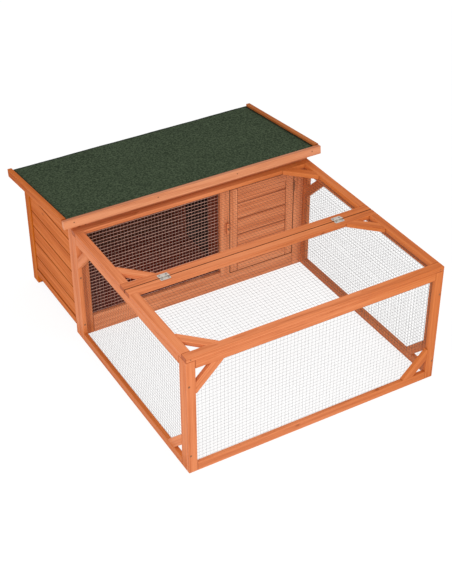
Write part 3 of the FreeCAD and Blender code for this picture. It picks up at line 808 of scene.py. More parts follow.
def door_gap(start):
    """One on the timber beside the door's gap, behind the front edge, and nought elsewhere: a mask for
    painted shadow in the gap.

    Seen from the front, a place's distance from the gap's middle line is the greater of its distances
    past the line's upright and level sides.
    """
    x, y, z = start.place().axes()
    low, high = (corner.tolist() for corner in box_of("door_stiles"))
    sill = float(box_of("front_sill")[1][Z])
    gap = (low[Z] - sill) / 2
    across = abs(x - (low[X] + high[X]) / 2) - ((high[X] - low[X]) / 2 + gap)
    over = abs(z - (low[Z] + high[Z]) / 2) - ((high[Z] - low[Z]) / 2 + gap)
    beside = 1 - abs(across.most(over)).step(*GAP_REACH)
    return beside * (y - float(POST_LOW[Y])).step(*GAP_DEPTH)


def lid_joint(start):
    """One on the timber beside the joint of the two top frames, below their top, and nought elsewhere: a mask
    for painted shadow in the joint.
    """
    _, y, z = start.place().axes()
    high = box_of("lid_long_rails")[1].tolist()
    middle = (high[Y] + float(box_of("rear_frame_long_rails")[0][Y])) / 2
    return (1 - abs(y - middle).step(*JOINT_REACH)) * (high[Z] - z).step(*JOINT_DEPTH)


def stained_fir(name, stain=(1.0, 1.0, 1.0), gloss=PLANED_GLOSS, grooved=False, own_grain=True, walled=False,
                gap=None, painted_falloff=None, dark_top=False, end_part=END_PART):
    """Planed fir under an orange stain, with streaks, rings, knots and darker ends.

    Its edges are paler with wear and a painted highlight, or dark grooves of pooled stain and painted shade.
    Painted shade darkens the stain by a mask where light falls off, and may darken the top. Painted shade
    darkens the faces inside the house, and the timber beside a gap.
    """
    look = settings().timber
    light, mid, dark = (colour(shade, stain) for shade in (look.stain_light, look.stain_mid, look.stain_dark))
    pooled_and_shaded = colour(look.stain_dark, POOLED_AND_SHADED_PART * np.array(stain))

    def build(start):
        place = start.stored("grain", "Vector") if own_grain else start.place()
        tone = start.stored("tone") if own_grain else SHEET_TONE
        streaks, fibres, rings, knots = fir_grain(place, tone)
        depth = streaks.step(*STREAK_BAND) * STREAK_PART + fibres.step(*FIBRE_BAND) * FIBRE_PART
        depth = depth + rings * RING_PART
        face = depth.step(*MIDDLE_BAND).mix(light, mid)
        face = (depth.step(*DARK_BAND) * DARK_PART).mix(face, dark)
        if own_grain:
            face = (tone * TONE_CYCLES % 1.0 * TONE_PART).mix(face, mid)
        face = (knots * KNOT_PART).mix(face, pooled_and_shaded)
        if own_grain:
            half = start.stored("half", "Vector")
            edge, end = edge_distance(place, half)
            # Dark grooves: pooled stain with painted shade in the groove
            if grooved:
                face = ((1 - edge.step(*GROOVE_REACH)) * GROOVE_PART).mix(face, pooled_and_shaded)
            else:
                # Paler edges: wear and a painted highlight where the rounded edge catches the light
                worn = (1 - edge.step(*WEAR_AND_HIGHLIGHT_REACH)) * streaks.step(*WEAR_AND_HIGHLIGHT_BAND)
                face = (worn * WEAR_AND_HIGHLIGHT_PART).mix(face, light)
            face = ((1 - end.step(*END_REACH)) * end_part).mix(face, dark)
        # Painted shade where light falls off across the hutch, by a mask
        if painted_falloff is not None:
            face = face.tinted(painted_falloff(start).times(look.painted_falloff_share))
        # Painted shade on the timber's top
        if dark_top:
            below = half.axes()[Z] - place.axes()[Z]
            face = ((1 - below.step(*TOP_DEPTH)) * TOP_PART).mix(face, dark)
        # Painted shade on the faces inside the house, darker still in the sleeping room
        if walled:
            face = (indoors(start) * INDOOR_PART).mix(face, colour(look.painted_indoor_shade))
        if walled or not own_grain:
            face = (sleeping_room(start) * ROOM_PART).mix(face, colour(look.painted_indoor_shade, ROOM_SHADE))
        # Painted shadow on the timber beside the door's gap and in the lid's joint
        if gap is not None:
            face = (gap(start) * GAP_PART).mix(face, colour(look.stain_dark, GAP_SHADE))
        return {
            "Base Color": face,
            "Roughness": FIR_ROUGHNESS + depth * GRAIN_ROUGHNESS,
            "Specular IOR Level": gloss,
            "Normal": bump((fibres + rings) * 0.5, GRAIN_RELIEF, GRAIN_BUMP),
        }

    return finish(name, build)


# Felt: granules, clumps of them and faded patches, each with its scale, and what they add; and painted shade
# along its borders
GRANULE_SCALE = 620.0
GRANULE_PART = 0.26
CLUMP_SCALE = 150.0
CLUMP_DETAIL = 3.0
CLUMP_ROUGHNESS = 0.7
CLUMP_BAND = (0.40, 0.60)
CLUMP_PART = 0.64
FADED_SCALE = 6.0
FADED_BAND = (0.3, 0.7)
FADED_PART = 0.06
BORDER_SHADE_REACH = (0.004, 0.012)
BORDER_SHADE_PART = 0.25
FELT_ROUGHNESS = 0.86
GRANULE_ROUGHNESS = 0.12
FELT_GLOSS = 0.12
GRANULE_HEIGHT = 0.7
CLUMP_HEIGHT = 0.6
FELT_RELIEF = 0.0006
FELT_BUMP = 0.8


def mineral_felt():
    """Green mineral felt: granules of two greens in clumps, faded in places, with painted shade along its
    borders.
    """
    look = settings().roof
    light, dark = colour(look.felt_light), colour(look.felt_dark)
    low, high = (corner.tolist() for corner in box_of("roof_felt"))
    middle_y = (low[Y] + high[Y]) / 2
    half_y = (high[Y] - low[Y]) / 2

    def build(start):
        place = start.place()
        granules = place.cells(GRANULE_SCALE)[1]
        clumps = place.noise(CLUMP_SCALE, CLUMP_DETAIL, CLUMP_ROUGHNESS).step(*CLUMP_BAND)
        faded = place.noise(FADED_SCALE, FINE_DETAIL).step(*FADED_BAND)
        x, y, _ = place.axes()
        border = (high[X] - abs(x)).least(half_y - abs(y - middle_y))
        unshaded = BORDER_SHADE_PART + border.step(*BORDER_SHADE_REACH) * (1 - BORDER_SHADE_PART)
        amount = granules * GRANULE_PART + clumps * CLUMP_PART + faded * FADED_PART
        return {
            "Base Color": (amount * unshaded).mix(dark, light),
            "Roughness": FELT_ROUGHNESS + granules * GRANULE_ROUGHNESS,
            "Specular IOR Level": FELT_GLOSS,
            "Normal": bump(granules * GRANULE_HEIGHT + clumps * CLUMP_HEIGHT, FELT_RELIEF, FELT_BUMP),
        }

    return finish("green mineral felt", build)


# Plated metal: spangle and dull spots, and how far they darken and roughen it
WORN_METAL = 0.62
SPANGLE_PART = 0.35
DULL_SPREAD = 3
DULL_DETAIL = 3.0
DULL_BAND = (0.45, 0.75)
DULL_PART = 0.5
DULL_ROUGHNESS = 0.22
DULL_RELIEF = 0.0001
DULL_BUMP = 0.4


def plated_metal(name, tone, metal, roughness, spangle_scale, upright_painted_shade=None):
    """Zinc-plated steel: mottled spangle and dull spots, and perhaps painted shade on the wires of the second
    layer, the window's uprights.
    """
    bright, worn = colour(tone), colour(tone, WORN_METAL)

    def build(start):
        place = start.place()
        spangle = place.cells(spangle_scale)[1]
        dull = place.noise(spangle_scale / DULL_SPREAD, DULL_DETAIL)
        face = (spangle * SPANGLE_PART + dull.step(*DULL_BAND) * DULL_PART).mix(bright, worn)
        if upright_painted_shade is not None:
            face = start.stored("layer").mix(face, colour(tone, upright_painted_shade))
        return {
            "Base Color": face,
            "Metallic": metal,
            "Roughness": roughness + dull * DULL_ROUGHNESS,
            "Normal": bump(dull, DULL_RELIEF, DULL_BUMP),
        }

    return finish(name, build)


def timber_finishes():
    """The makers of the timbers' materials, by their short names."""
    look = settings().timber
    return {
        "frame fir": lambda: stained_fir("stained fir frame", painted_falloff=to_right),
        "left fir": lambda: stained_fir("stained fir left panel", look.left_panel_painted_shade, painted_falloff=to_ground),
        "shaded fir": lambda: stained_fir("stained fir right panel", look.right_panel_painted_shade),
        "top fir": lambda: stained_fir("stained fir top frames", gap=lid_joint, painted_falloff=to_right),
        "front fir": lambda: stained_fir("stained fir house front", look.front_painted_sheen, gap=door_gap),
        "house fir": lambda: stained_fir(
            "stained fir house", look.house_painted_shade, DULL_GLOSS, walled=True, painted_falloff=to_rear),
        "board fir": lambda: stained_fir(
            "stained fir boards", look.board_painted_shade, DULL_GLOSS, grooved=True, walled=True, painted_falloff=to_rear),
        "door fir": lambda: stained_fir("stained fir door boards", look.door_stain, DOOR_GLOSS, grooved=True),
        "button fir": lambda: stained_fir("stained fir turn button"),
        "inner fir": lambda: stained_fir("stained fir inside", look.inner_painted_shade, INNER_GLOSS),
        "sheet fir": lambda: stained_fir("stained fir sheet", look.floor_painted_shade, INNER_GLOSS, own_grain=False),
        "left batten fir": lambda: stained_fir(
            "stained fir left batten", look.left_batten_painted_shade, DULL_GLOSS, painted_falloff=to_rear),
        "right batten fir": lambda: stained_fir(
            "stained fir right batten", look.right_batten_painted_shade, DULL_GLOSS),
        "fascia fir": lambda: stained_fir(
            "stained fir fascia", look.fascia_painted_sheen, FASCIA_GLOSS, dark_top=True, end_part=FASCIA_END_PART),
    }


def metal_finishes():
    """The makers of the metals' materials, by their short names."""
    net, hardware = settings().net, settings().hardware
    return {
        "wire": lambda: plated_metal(
            "galvanised wire", net.colour, metal=0.55, roughness=0.42, spangle_scale=240.0),
        "window wire": lambda: plated_metal(
            "window wire", net.window_painted_light, metal=0.45, roughness=0.42, spangle_scale=240.0,
            upright_painted_shade=net.upright_painted_shade),
        "zinc": lambda: plated_metal(
            "zinc plate", hardware.zinc, metal=0.7, roughness=0.34, spangle_scale=420.0),
        "screw": lambda: plated_metal(
            "screw steel", hardware.screw_steel, metal=0.6, roughness=0.4, spangle_scale=500.0),
        "nail": lambda: plated_metal(
            "nail steel", hardware.nail_steel, metal=0.45, roughness=0.5, spangle_scale=500.0),
    }


class Finishes:
    """Materials of the hutch, made once each when first asked for."""

    made = {}

    @classmethod
    def get(cls, name):
        """The material of that name."""
        if name not in cls.made:
            makers = {**timber_finishes(), **metal_finishes(), "felt": mineral_felt}
            cls.made[name] = makers[name]()
        return cls.made[name]


def refinish(node, material):
    """Give a node that stays its material in every slot."""
    mesh = frame["nodes"][node].data
    mesh.materials.clear()
    mesh.materials.append(material)


# Run


SQUARE_LIMIT = 1e-9
STAPLE_BEND = 0.35

# Least and most of a wire's sideways wave: its turns along the wire, and its part of the bow
BOW_TURNS = (0.4, 1.3)
BOW_PARTS = (0.2, 1.0)

# The axes of each frame's plane, and its braced corners: nought at an axis's low end, one at its high end
PANEL_AXES = {"front": (X, Z), "left": (Y, Z), "right": (Y, Z)}
PANEL_CORNERS = {"front": ((0, 1), (1, 0)), "left": ((1, 1), (0, 0)), "right": ((1, 1), (0, 0))}
TOP_CORNERS = ((0, 0), (1, 1))

# Each net's node, axes and cut corners, and the side on which its timber lies
NETS = (
    ("front_panel_net", PANEL_AXES["front"], PANEL_CORNERS["front"], -1),
    ("left_panel_net", PANEL_AXES["left"], PANEL_CORNERS["left"], -1),
    ("right_panel_net", PANEL_AXES["right"], PANEL_CORNERS["right"], 1),
    ("rear_frame_net", (X, Y), TOP_CORNERS, 1),
    ("lid_net", (X, Y), TOP_CORNERS, 1),
    ("window_net", (X, Z), (), -1),
)


def beam_at_ends(node, axis, end_axis, width):
    """Two like timbers of a node, one at each end of its box along an axis, as one surface."""
    low, high = box_of(node)
    surface = Surface()
    for end in (0, 1):
        lower, upper = low.copy(), high.copy()
        if end:
            lower[end_axis] = high[end_axis] - width
        else:
            upper[end_axis] = low[end_axis] + width
        surface.beam(lower, upper, axis)
    return surface


def braces(node, low, high, axes, corners):
    """Boards cut at 45 degrees across the named inner corners of a frame.

    In the frame's plane a brace is the strip between two lines at 45 degrees, one a leg from the inner
    corner and one a brace's width further out.
    """
    look = settings().timber
    u, v = axes
    axis = 3 - u - v
    gap = look.face_gap
    span = np.array([box_of(node)[0][axis] + gap, box_of(node)[1][axis] - gap])
    near, far = look.brace_leg, look.brace_leg + look.brace_width * math.sqrt(2)
    surface = Surface()
    for side, end in corners:
        start = np.array([high[u] - STOCK_WIDTH if side else low[u] + STOCK_WIDTH,
                          high[v] - STOCK_WIDTH if end else low[v] + STOCK_WIDTH])
        step_u, step_v = np.array([1 - 2 * side, 0]), np.array([0, 1 - 2 * end])
        outline = [start + step_u * near, start + step_u * far, start + step_v * far, start + step_v * near]
        outline = np.array(outline)
        if outline_axes(axis) != (u, v):
            outline = outline[:, ::-1]
        edge, after = outline[1] - outline[0], outline[2] - outline[1]
        if edge[0] * after[1] - edge[1] * after[0] < 0:
            outline = outline[::-1]
        slant = outline[2] - outline[1] if abs(edge[0] * edge[1]) < SQUARE_LIMIT else edge
        surface.timber(outline, span, axis, turn=math.atan2(slant[1], slant[0]))
    return surface


def wire_of(node):
    """Diameter of a net's wires."""
    look = settings().net
    return look.window_wire if node == "window_net" else look.wire


def net_rows(node, axes, corners):
    """The two layers of a net: for each, its axis, the other axis, and its wires' places, starts and ends.

    Wires stand a pitch apart over the net's box. Where a corner is cut off at 45 degrees, a wire loses what
    its distance from that corner's edge lacks of the cut's leg.
    """
    look, timber = settings().net, settings().timber
    low, high = box_of(node)
    clip = timber.brace_leg + timber.brace_width / math.sqrt(2) + 2 * (STOCK_WIDTH - NET_EDGE)
    rows = []
    for along, over in (axes, axes[::-1]):
        reach = high[over] - low[over]
        wire = wire_of(node)
        count = round((reach - wire) / look.pitch) + 1
        place = np.linspace(wire / 2, reach - wire / 2, count)
        start, end = np.full(count, low[along]), np.full(count, high[along])
        for corner in corners:
            side, far = corner if along == axes[0] else corner[::-1]
            cut = np.maximum(0, clip - (reach - place if far else place))
            if side:
                end -= cut
            else:
                start += cut
        rows.append((along, over, low[over] + place, start, end))
    return rows


def net_wires(node, axes, corners, timber_side):
    """Welded wires over a net's box, in two layers that bite into each other, the first on the timber.

    A wire's middle line is straight but for a slow sideways wave, and a ring of points follows it.
    """
    look = settings().net
    axis = 3 - sum(axes)
    wire = wire_of(node)
    step = min(look.bite * wire, size_of(node)[axis] - wire)
    timber = box_of(node)[1 if timber_side > 0 else 0][axis]
    part = np.linspace(0, 1, WIRE_SEGMENTS + 1)
    surface = Surface()
    for layer, (along, over, place, start, end) in enumerate(net_rows(node, axes, corners)):
        level = timber - timber_side * (wire / 2 + layer * step)
        count = len(place)
        turns = net_draw.uniform(*BOW_TURNS, (count, 1)) * part + net_draw.random((count, 1))
        sway = look.bow * net_draw.uniform(*BOW_PARTS, (count, 1)) * np.sin(2 * math.pi * turns)
        sway[[0, -1]] = 0.0
        paths = np.empty((count, len(part), 3))
        paths[..., along] = start[:, None] + (end - start)[:, None] * part
        paths[..., over] = place[:, None] + sway
        paths[..., axis] = level
        surface.add(*wires_along(paths, np.eye(3)[axis], wire / 2), layer=np.full(1, float(layer)))
    return surface


def staples(node, axes, corners, timber_side):
    """Staples over a net's outer wires, each a U across the wire with its two legs in the timber.

    Along its crown a staple's point goes as the cosine of an angle, and its height as a low power of the
    sine, which rounds the two bends. No timber lies behind the window net's left edge.
    """
    look = settings().net
    low, high = box_of(node)
    axis = 3 - sum(axes)
    angle = np.linspace(0, math.pi, STAPLE_POINTS)
    sink = (1 - np.sin(angle) ** STAPLE_BEND) * (high[axis] - low[axis] + look.staple_bite)
    crown = low[axis] if timber_side > 0 else high[axis]
    surface = Surface()
    for along, over, place, start, end in net_rows(node, axes, corners):
        for wire, inward in ((0, 1), (-1, -1)):
            if node == "window_net" and along == Z and wire == 0:
                continue
            first, last = start[wire] + look.staple_end, end[wire] - look.staple_end
            count = round((last - first) / look.staple_pitch) + 1
            paths = np.empty((count, STAPLE_POINTS, 3))
            paths[..., along] = np.linspace(first, last, count)[:, None]
            middle = place[wire] + inward * look.staple_shift
            paths[..., over] = middle - look.staple_crown / 2 * np.cos(angle)
            paths[..., axis] = crown + timber_side * sink
            surface.add(*wires_along(paths, np.eye(3)[along], look.wire / 2))
    return surface


class HUTCH_OT_run_panels(bpy.types.Operator):
    """Make the stiles, rails and braces of the run's three upright panels"""

    bl_idname = "hutch.run_panels"
    bl_label = "Run Panels"

    def execute(self, context):
        finishes = {"front": "frame fir", "left": "left fir", "right": "shaded fir"}
        for side in PANEL_SIDES:
            fir = Finishes.get(finishes[side])
            across = PANEL_AXES[side][0]
            node = side + "_panel_stiles"
            low, high = box_of(node)
            beam_at_ends(node, Z, across, STOCK_WIDTH).piece(side + "_stiles_fir", node, "frame_timber", fir)
            node = side + "_panel_rails"
            beam_at_ends(node, across, Z, STOCK_WIDTH).piece(side + "_rails_fir", node, "frame_timber", fir)
            node = side + "_panel_braces"
            made = braces(node, low, high, PANEL_AXES[side], PANEL_CORNERS[side])
            made.piece(side + "_braces_fir", node, "frame_timber", fir)
        return {"FINISHED"}


class HUTCH_OT_top_frames(bpy.types.Operator):
    """Make the rails and braces of the rear top frame and of the lid"""

    bl_idname = "hutch.top_frames"
    bl_label = "Top Frames"

    def execute(self, context):
        fir = Finishes.get("top fir")
        for name in TOP_FRAMES:
            node = name + "_long_rails"
            low, high = box_of(node)
            beam_at_ends(node, X, Y, STOCK_WIDTH).piece(name + "_long_rails_fir", node, "frame_timber", fir)
            node = name + "_side_rails"
            beam_at_ends(node, Y, X, STOCK_WIDTH).piece(name + "_side_rails_fir", node, "frame_timber", fir)
            node = name + "_braces"
            made = braces(node, low, high, (X, Y), TOP_CORNERS)
            made.piece(name + "_braces_fir", node, "frame_timber", fir)
        return {"FINISHED"}


class HUTCH_OT_nets(bpy.types.Operator):
    """Make the welded nets of the run, the top frames and the window, and their staples"""

    bl_idname = "hutch.nets"
    bl_label = "Welded Nets"

    def execute(self, context):
        for node, axes, corners, timber_side in NETS:
            wire = Finishes.get("window wire" if node == "window_net" else "wire")
            made = net_wires(node, axes, corners, timber_side)
            made.piece(node + "_wires", node, "wire_net", wire)
            made = staples(node, axes, corners, timber_side)
            made.piece(node + "_staples", node, "fasteners", Finishes.get("screw"), replaces=False)
        return {"FINISHED"}


# House


BOARD_SHARPNESS = 3


def under_roof(points, normals):
    """Move the upper points of an upright piece down with the fall of the roof at their place along Y."""
    points = points.copy()
    middle = (points[:, Z].min() + points[:, Z].max()) / 2
    fall = roof_underside(points[:, Y]) - roof_underside(points[:, Y].min())
    points[:, Z] += np.where(points[:, Z] > middle, fall, 0.0)
    return points, normals


class HUTCH_OT_house_frame(bpy.types.Operator):
    """Make the posts and the rails of the house"""

    bl_idname = "hutch.house_frame"
    bl_label = "House Frame"

    def execute(self, context):
        corner = {"front_left_post": Z}
        front = {
            "front_right_post": Z, "front_toe_rail": X, "front_sill": X,
            "window_bottom_rail": X, "front_top_rail": X, "window_mullion": Z, "door_stop": Z,
        }
        sides = {"rear_left_post": Z, "rear_right_post": Z, "rear_wall_top_rail": X}
        feet = {"left_wall_bottom_rail": Y, "right_wall_bottom_rail": Y, "rear_wall_bottom_rail": X}
        layouts = (
            (corner, "left fir"), (front, "front fir"), (sides, "house fir"), (feet, "board fir"))
        for layout, material in layouts:
            for node, axis in layout.items():
                slanted = node.endswith(("_post", "_top_rail"))
                surface = Surface()
                surface.beam(*box_of(node), axis, fit=under_roof if slanted else None)
                surface.piece(node + "_fir", node, "frame_timber", Finishes.get(material))
        return {"FINISHED"}


def level_boards(node, joints, axis, outer, fit_last=None):
    """Level boards between the joints given, with bevelled outer edges, carried along their length.

    A board's section is a rectangle whose two outer corners are cut off; the last board may be fitted to
    the roof.
    """
    look = settings().timber
    low, high = box_of(node)
    gap, chamfer = look.face_gap, look.board_chamfer
    depth_axis = Y if axis == X else X
    face, back = (high, low) if outer > 0 else (low, high)
    face, back = face[depth_axis] - outer * gap, back[depth_axis] + outer * gap
    inset = face - outer * chamfer
    span = (low[axis] + gap, high[axis] - gap)
    surface = Surface()
    for lower, upper in zip(joints, joints[1:]):
        lower, top = lower + gap, upper - gap
        section = [(back, lower), (inset, lower), (face, lower + chamfer),
                   (face, top - chamfer), (inset, top), (back, top)]
        section = np.array(section if outer > 0 else section[::-1])
        if outline_axes(axis)[0] == Z:
            section = section[::-1, ::-1]
        fit = fit_last if upper == joints[-1] else None
        surface.timber(section, span, axis, fit=fit, radius=look.edge_radius / BOARD_SHARPNESS)
    return surface


class HUTCH_OT_wall_boards(bpy.types.Operator):
    """Make the level boards of the two side walls and the rear wall"""

    bl_idname = "hutch.wall_boards"
    bl_label = "Wall Boards"

    def execute(self, context):
        look = settings().timber
        walls = {"left": (Y, -1), "right": (Y, 1), "rear": (X, 1)}
        for side, (axis, outer) in walls.items():
            node = side + "_wall_boards"
            low, high = box_of(node)
            lowest_top = min(high[Z], roof_underside(high[Y]))
            first = low[Z] + look.first_wall_board
            count = round((lowest_top - first) / look.board_pitch)
            joints = [low[Z]] + [first + look.board_pitch * i for i in range(count)] + [high[Z]]
            made = level_boards(node, joints, axis, outer, None if side == "rear" else under_roof)
            made.piece(side + "_boards_fir", node, "wall_boards", Finishes.get("board fir"))
        return {"FINISHED"}


class HUTCH_OT_partition(bpy.types.Operator):
    """Make the partition's boards around its doorway, and finish the floor"""

    bl_idname = "hutch.partition"
    bl_label = "Partition and Floor"

    def execute(self, context):
        node = "partition_boards"
        points = points_of(node)
        low, high = points.min(axis=0), points.max(axis=0)
        clear = settings().timber.board_chamfer
        inside = points[(points[:, Y] > low[Y] + clear) & (points[:, Y] < high[Y] - clear)]
        near, far = inside[:, Y].min(), inside[:, Y].max()
        head = inside[inside[:, Z] > low[Z] + clear][:, Z].min()
        drop = high[Z] - roof_underside(low[Y])
        surface = Surface()
        boards = ((low[Y], near, low[Z], Z), (far, high[Y], low[Z], Z), (near, far, head, Y))
        for start, end, foot, axis in boards:
            corner = (high[X], end, roof_underside(start) + drop)
            surface.beam((low[X], start, foot), corner, axis, fit=under_roof)
        surface.piece("partition_fir", node, "inner_boards", Finishes.get("inner fir"))
        refinish("house_floor", Finishes.get("sheet fir"))
        return {"FINISHED"}


class HUTCH_OT_door(bpy.types.Operator):
    """Make the door's stiles, rails and boards"""

    bl_idname = "hutch.door"
    bl_label = "Door"

    def execute(self, context):
        look = settings().timber
        fir = Finishes.get("front fir")
        width = (size_of("door_stiles")[X] - size_of("door_rails")[X]) / 2
        beam_at_ends("door_stiles", Z, X, width).piece("door_stiles_fir", "door_stiles", "frame_timber", fir)
        beam_at_ends("door_rails", X, Z, width).piece("door_rails_fir", "door_rails", "frame_timber", fir)
        low, high = box_of("door_boards")
        first = low[Z] + look.first_door_board
        count = round((high[Z] - first) / look.door_board_pitch)
        joints = [low[Z]] + [first + look.door_board_pitch * i for i in range(count)] + [high[Z]]
        made = level_boards("door_boards", joints, X, -1)
        made.piece("door_boards_fir", "door_boards", "wall_boards", Finishes.get("door fir"))
        return {"FINISHED"}


class HUTCH_OT_turn_button(bpy.types.Operator):
    """Make the wooden turn button"""

    bl_idname = "hutch.turn_button"
    bl_label = "Turn Button"

    def execute(self, context):
        gap = settings().timber.face_gap
        low, high = box_of("turn_button")
        middle = (low + high) / 2
        outline = stadium((high[Z] - low[Z]) / 2 - gap, (high[X] - low[X]) / 2 - gap)
        surface = Surface()
        surface.timber(outline + [middle[Z], middle[X]], (low[Y] + gap, high[Y]), Y, turn=0.0)
        surface.piece("turn_button_fir", "turn_button", "frame_timber", Finishes.get("button fir"))
        return {"FINISHED"}


# Roof


FELT_COLUMNS = 72
FELT_ROWS = 40
FELT_CLEAR = 1.2

# Waves of the felt: radians to a metre across and down the slope, start, and height
FELT_WAVES = ((23.0, 5.0, 0.0, 1.0), (-11.0, 31.0, 1.3, 1.0), (57.0, 41.0, 0.0, 0.6))


def tilt_to_roof(points, normals):
    """Carry points and normals from the roof's frame to the hutch's frame."""
    return points @ ROOF_TURN.T + ROOF_ORIGIN, normals @ ROOF_TURN.T


def felt_sheet(low, high):
    """The felt: a flat section carried down the slope, whose top rises and falls by slow waves.

    The height off the deck is the felt's thickness less a little, minus sines of three directions.
    """
    ripple = settings().roof.ripple
    across = np.linspace(low[X], high[X], FELT_COLUMNS)
    down = np.linspace(low[Y], high[Y], FELT_ROWS)
    u, v = np.meshgrid(across, down)
    wave = sum(height * np.sin(by_u * u + by_v * v + start) for by_u, by_v, start, height in FELT_WAVES)
    highest = sum(height for *_, height in FELT_WAVES)
    top = high[Z] - ripple * (FELT_CLEAR + wave / highest)
    upper = np.stack([u, v, top], axis=-1)
    lower = np.stack([u, v, np.full_like(u, low[Z])], axis=-1)
    ring = np.concatenate([lower, upper[:, ::-1]], axis=1)
    points = ring.reshape(-1, 3)
    index = np.arange(len(points)).reshape(FELT_ROWS, -1)
    faces = grid_faces(index[:, ::-1]) + [index[:1], index[-1:, ::-1]]
    return points, faces


class HUTCH_OT_roof(bpy.types.Operator):
    """Make the roof's deck, felt, battens and fascia"""

    bl_idname = "hutch.roof"
    bl_label = "Roof"

    def execute(self, context):
        layouts = {
            "roof_fascia": (X, "frame_timber", "fascia fir"),
            "roof_left_batten": (Y, "frame_timber", "left batten fir"),
            "roof_right_batten": (Y, "frame_timber", "right batten fir"),
            "roof_deck": (X, "inner_boards", "inner fir"),
        }
        for node, (axis, slot, material) in layouts.items():
            surface = Surface()
            surface.beam(*roof_box(node), axis, fit=tilt_to_roof)
            surface.piece(node + "_fir", node, slot, Finishes.get(material))
        points, faces = felt_sheet(*roof_box("roof_felt"))
        surface = Surface()
        surface.add(tilt_to_roof(points, points)[0], faces)
        surface.piece("roof_felt_sheet", "roof_felt", "roof_felt", Finishes.get("felt"))
        return {"FINISHED"}


# Hardware


DOME_RADII = np.array((1.0, 1.0, 0.93, 0.74, 0.50, 0.34, 0.18, 0.06))
DOME_HEIGHTS = np.array((0.0, 0.25, 0.54, 0.78, 0.93, 0.97, 1.0, 1.0))
CROSS_REACH = 0.6
CROSS_ARM = 0.13
CROSS_DEPTH = 0.6
HINGE_SCREW_RISE = 0.3
HINGE_SCREW_PLACE = 0.64
SHANK_CLEAR = 1.2
NAIL_RADII = np.array((1.0, 1.0, 0.90, 0.40))
NAIL_HEIGHTS = np.array((-0.30, 0.01, 0.06, 0.08))


def screw(radius, height, shank, depth):
    """A screw about +Z with a domed head, a cross recess, and a shank below nought.

    The head is a turned profile. A point of its top lies in the cross where its lesser distance from the
    two arms' middle lines is under an arm's half width, and its radius is under the cross's reach.
    """
    radii = np.concatenate([[shank, shank], radius * DOME_RADII])
    heights = np.concatenate([[-depth, 0.0], height * DOME_HEIGHTS])
    points, faces = turned_profile(radii, heights, SCREW_SIDES)
    away = np.hypot(points[:, 0], points[:, 1])
    arm = np.minimum(np.abs(points[:, 0]), np.abs(points[:, 1]))
    sunk = (away < CROSS_REACH * radius) & (arm < CROSS_ARM * radius) & (points[:, 2] > height / 2)
    points[:, 2] -= np.where(sunk, CROSS_DEPTH * height, 0.0)
    return points, faces


def nails(radius, places, direction):
    """Flat nail heads with soft rims, sunk into a face that looks in the direction given."""
    points, faces = turned_profile(radius * NAIL_RADII, radius * NAIL_HEIGHTS, NAIL_SIDES)
    surface = Surface()
    for place in places:
        surface.add(laid_to(points, direction) + place, faces)
    return surface


class LidHinge:
    """Sizes of the lid's hinges, read from their nodes."""

    def __init__(self):
        look = settings().hardware
        fixed_low, fixed_high = box_of("lid_hinge_fixed_leaves")
        moving_low, moving_high = box_of("lid_hinge_moving_leaves")
        self.radius = (moving_high[Y] - fixed_low[Y]) / 2
        self.pin_y = (moving_high[Y] + fixed_low[Y]) / 2
        self.pin_z = fixed_high[Z] - self.radius
        self.seat = fixed_low[Z]
        self.top = self.seat + look.hinge_leaf
        self.half = look.hinge_length / 2
        self.place = fixed_high[X] - self.half
        self.reach = {1: fixed_high[Y] - self.pin_y, -1: self.pin_y - moving_low[Y]}
        third = look.hinge_length / 3
        self.spans = {1: ((-self.half, third - self.half), (self.half - third, self.half)),
                      -1: ((third - self.half, self.half - third),)}

    def block(self, surface, outline, inset=0.0):
        """Add a flat piece of the leaf over an outline."""
        edge = settings().hardware.hinge_edge
        points, normals, faces = rounded_prism(outline, (self.seat + inset, self.top - inset), edge)
        surface.add(points, faces, normals)

    def leaf(self, surface, x, way):
        """Add a leaf on one side of the pin: a plate with rounded corners, its straps and its knuckles."""
        look = settings().hardware
        near, far = np.sort(way * np.array([self.radius + look.hinge_edge, self.reach[way]]))
        low, high = (x - self.half, self.pin_y + near), (x + self.half, self.pin_y + far)
        self.block(surface, rounded_rectangle(low, high, look.hinge_corner))
        inset = look.hinge_edge / 3
        for start, end in self.spans[way]:
            near, far = np.sort(way * np.array([self.radius / 2, self.radius + look.hinge_corner]))
            low, high = (x + start, self.pin_y + near), (x + end, self.pin_y + far)
            self.block(surface, [low, (high[0], low[1]), high, (low[0], high[1])], inset)
            self.knuckle(surface, x + start + look.knuckle_gap, x + end - look.knuckle_gap)

    def knuckle(self, surface, start, end):
        """Add one rolled knuckle along X, a turned profile with soft rims."""
        rim = settings().hardware.hinge_edge
        inner, outer = self.radius - rim, self.radius
        radii = [self.radius / 2, inner, outer, outer, inner, self.radius / 2]
        heights = [start, start, start + rim, end - rim, end, end]
        points, faces = turned_profile(radii, heights, KNUCKLE_SIDES)
        surface.add(on_axis(points, X) + [0.0, self.pin_y, self.pin_z], faces)

    def screws(self, surface, x, way):
        """Add the leaf's two screws, one towards each end."""
        radius = settings().hardware.hinge_screw
        points, faces = screw(radius, radius * HINGE_SCREW_RISE, radius / 2, self.top - self.seat)
        away = way * (self.radius + self.reach[way]) / 2
        for end in (-HINGE_SCREW_PLACE, HINGE_SCREW_PLACE):
            surface.add(points + [x + end * self.half, self.pin_y + away, self.top], faces)


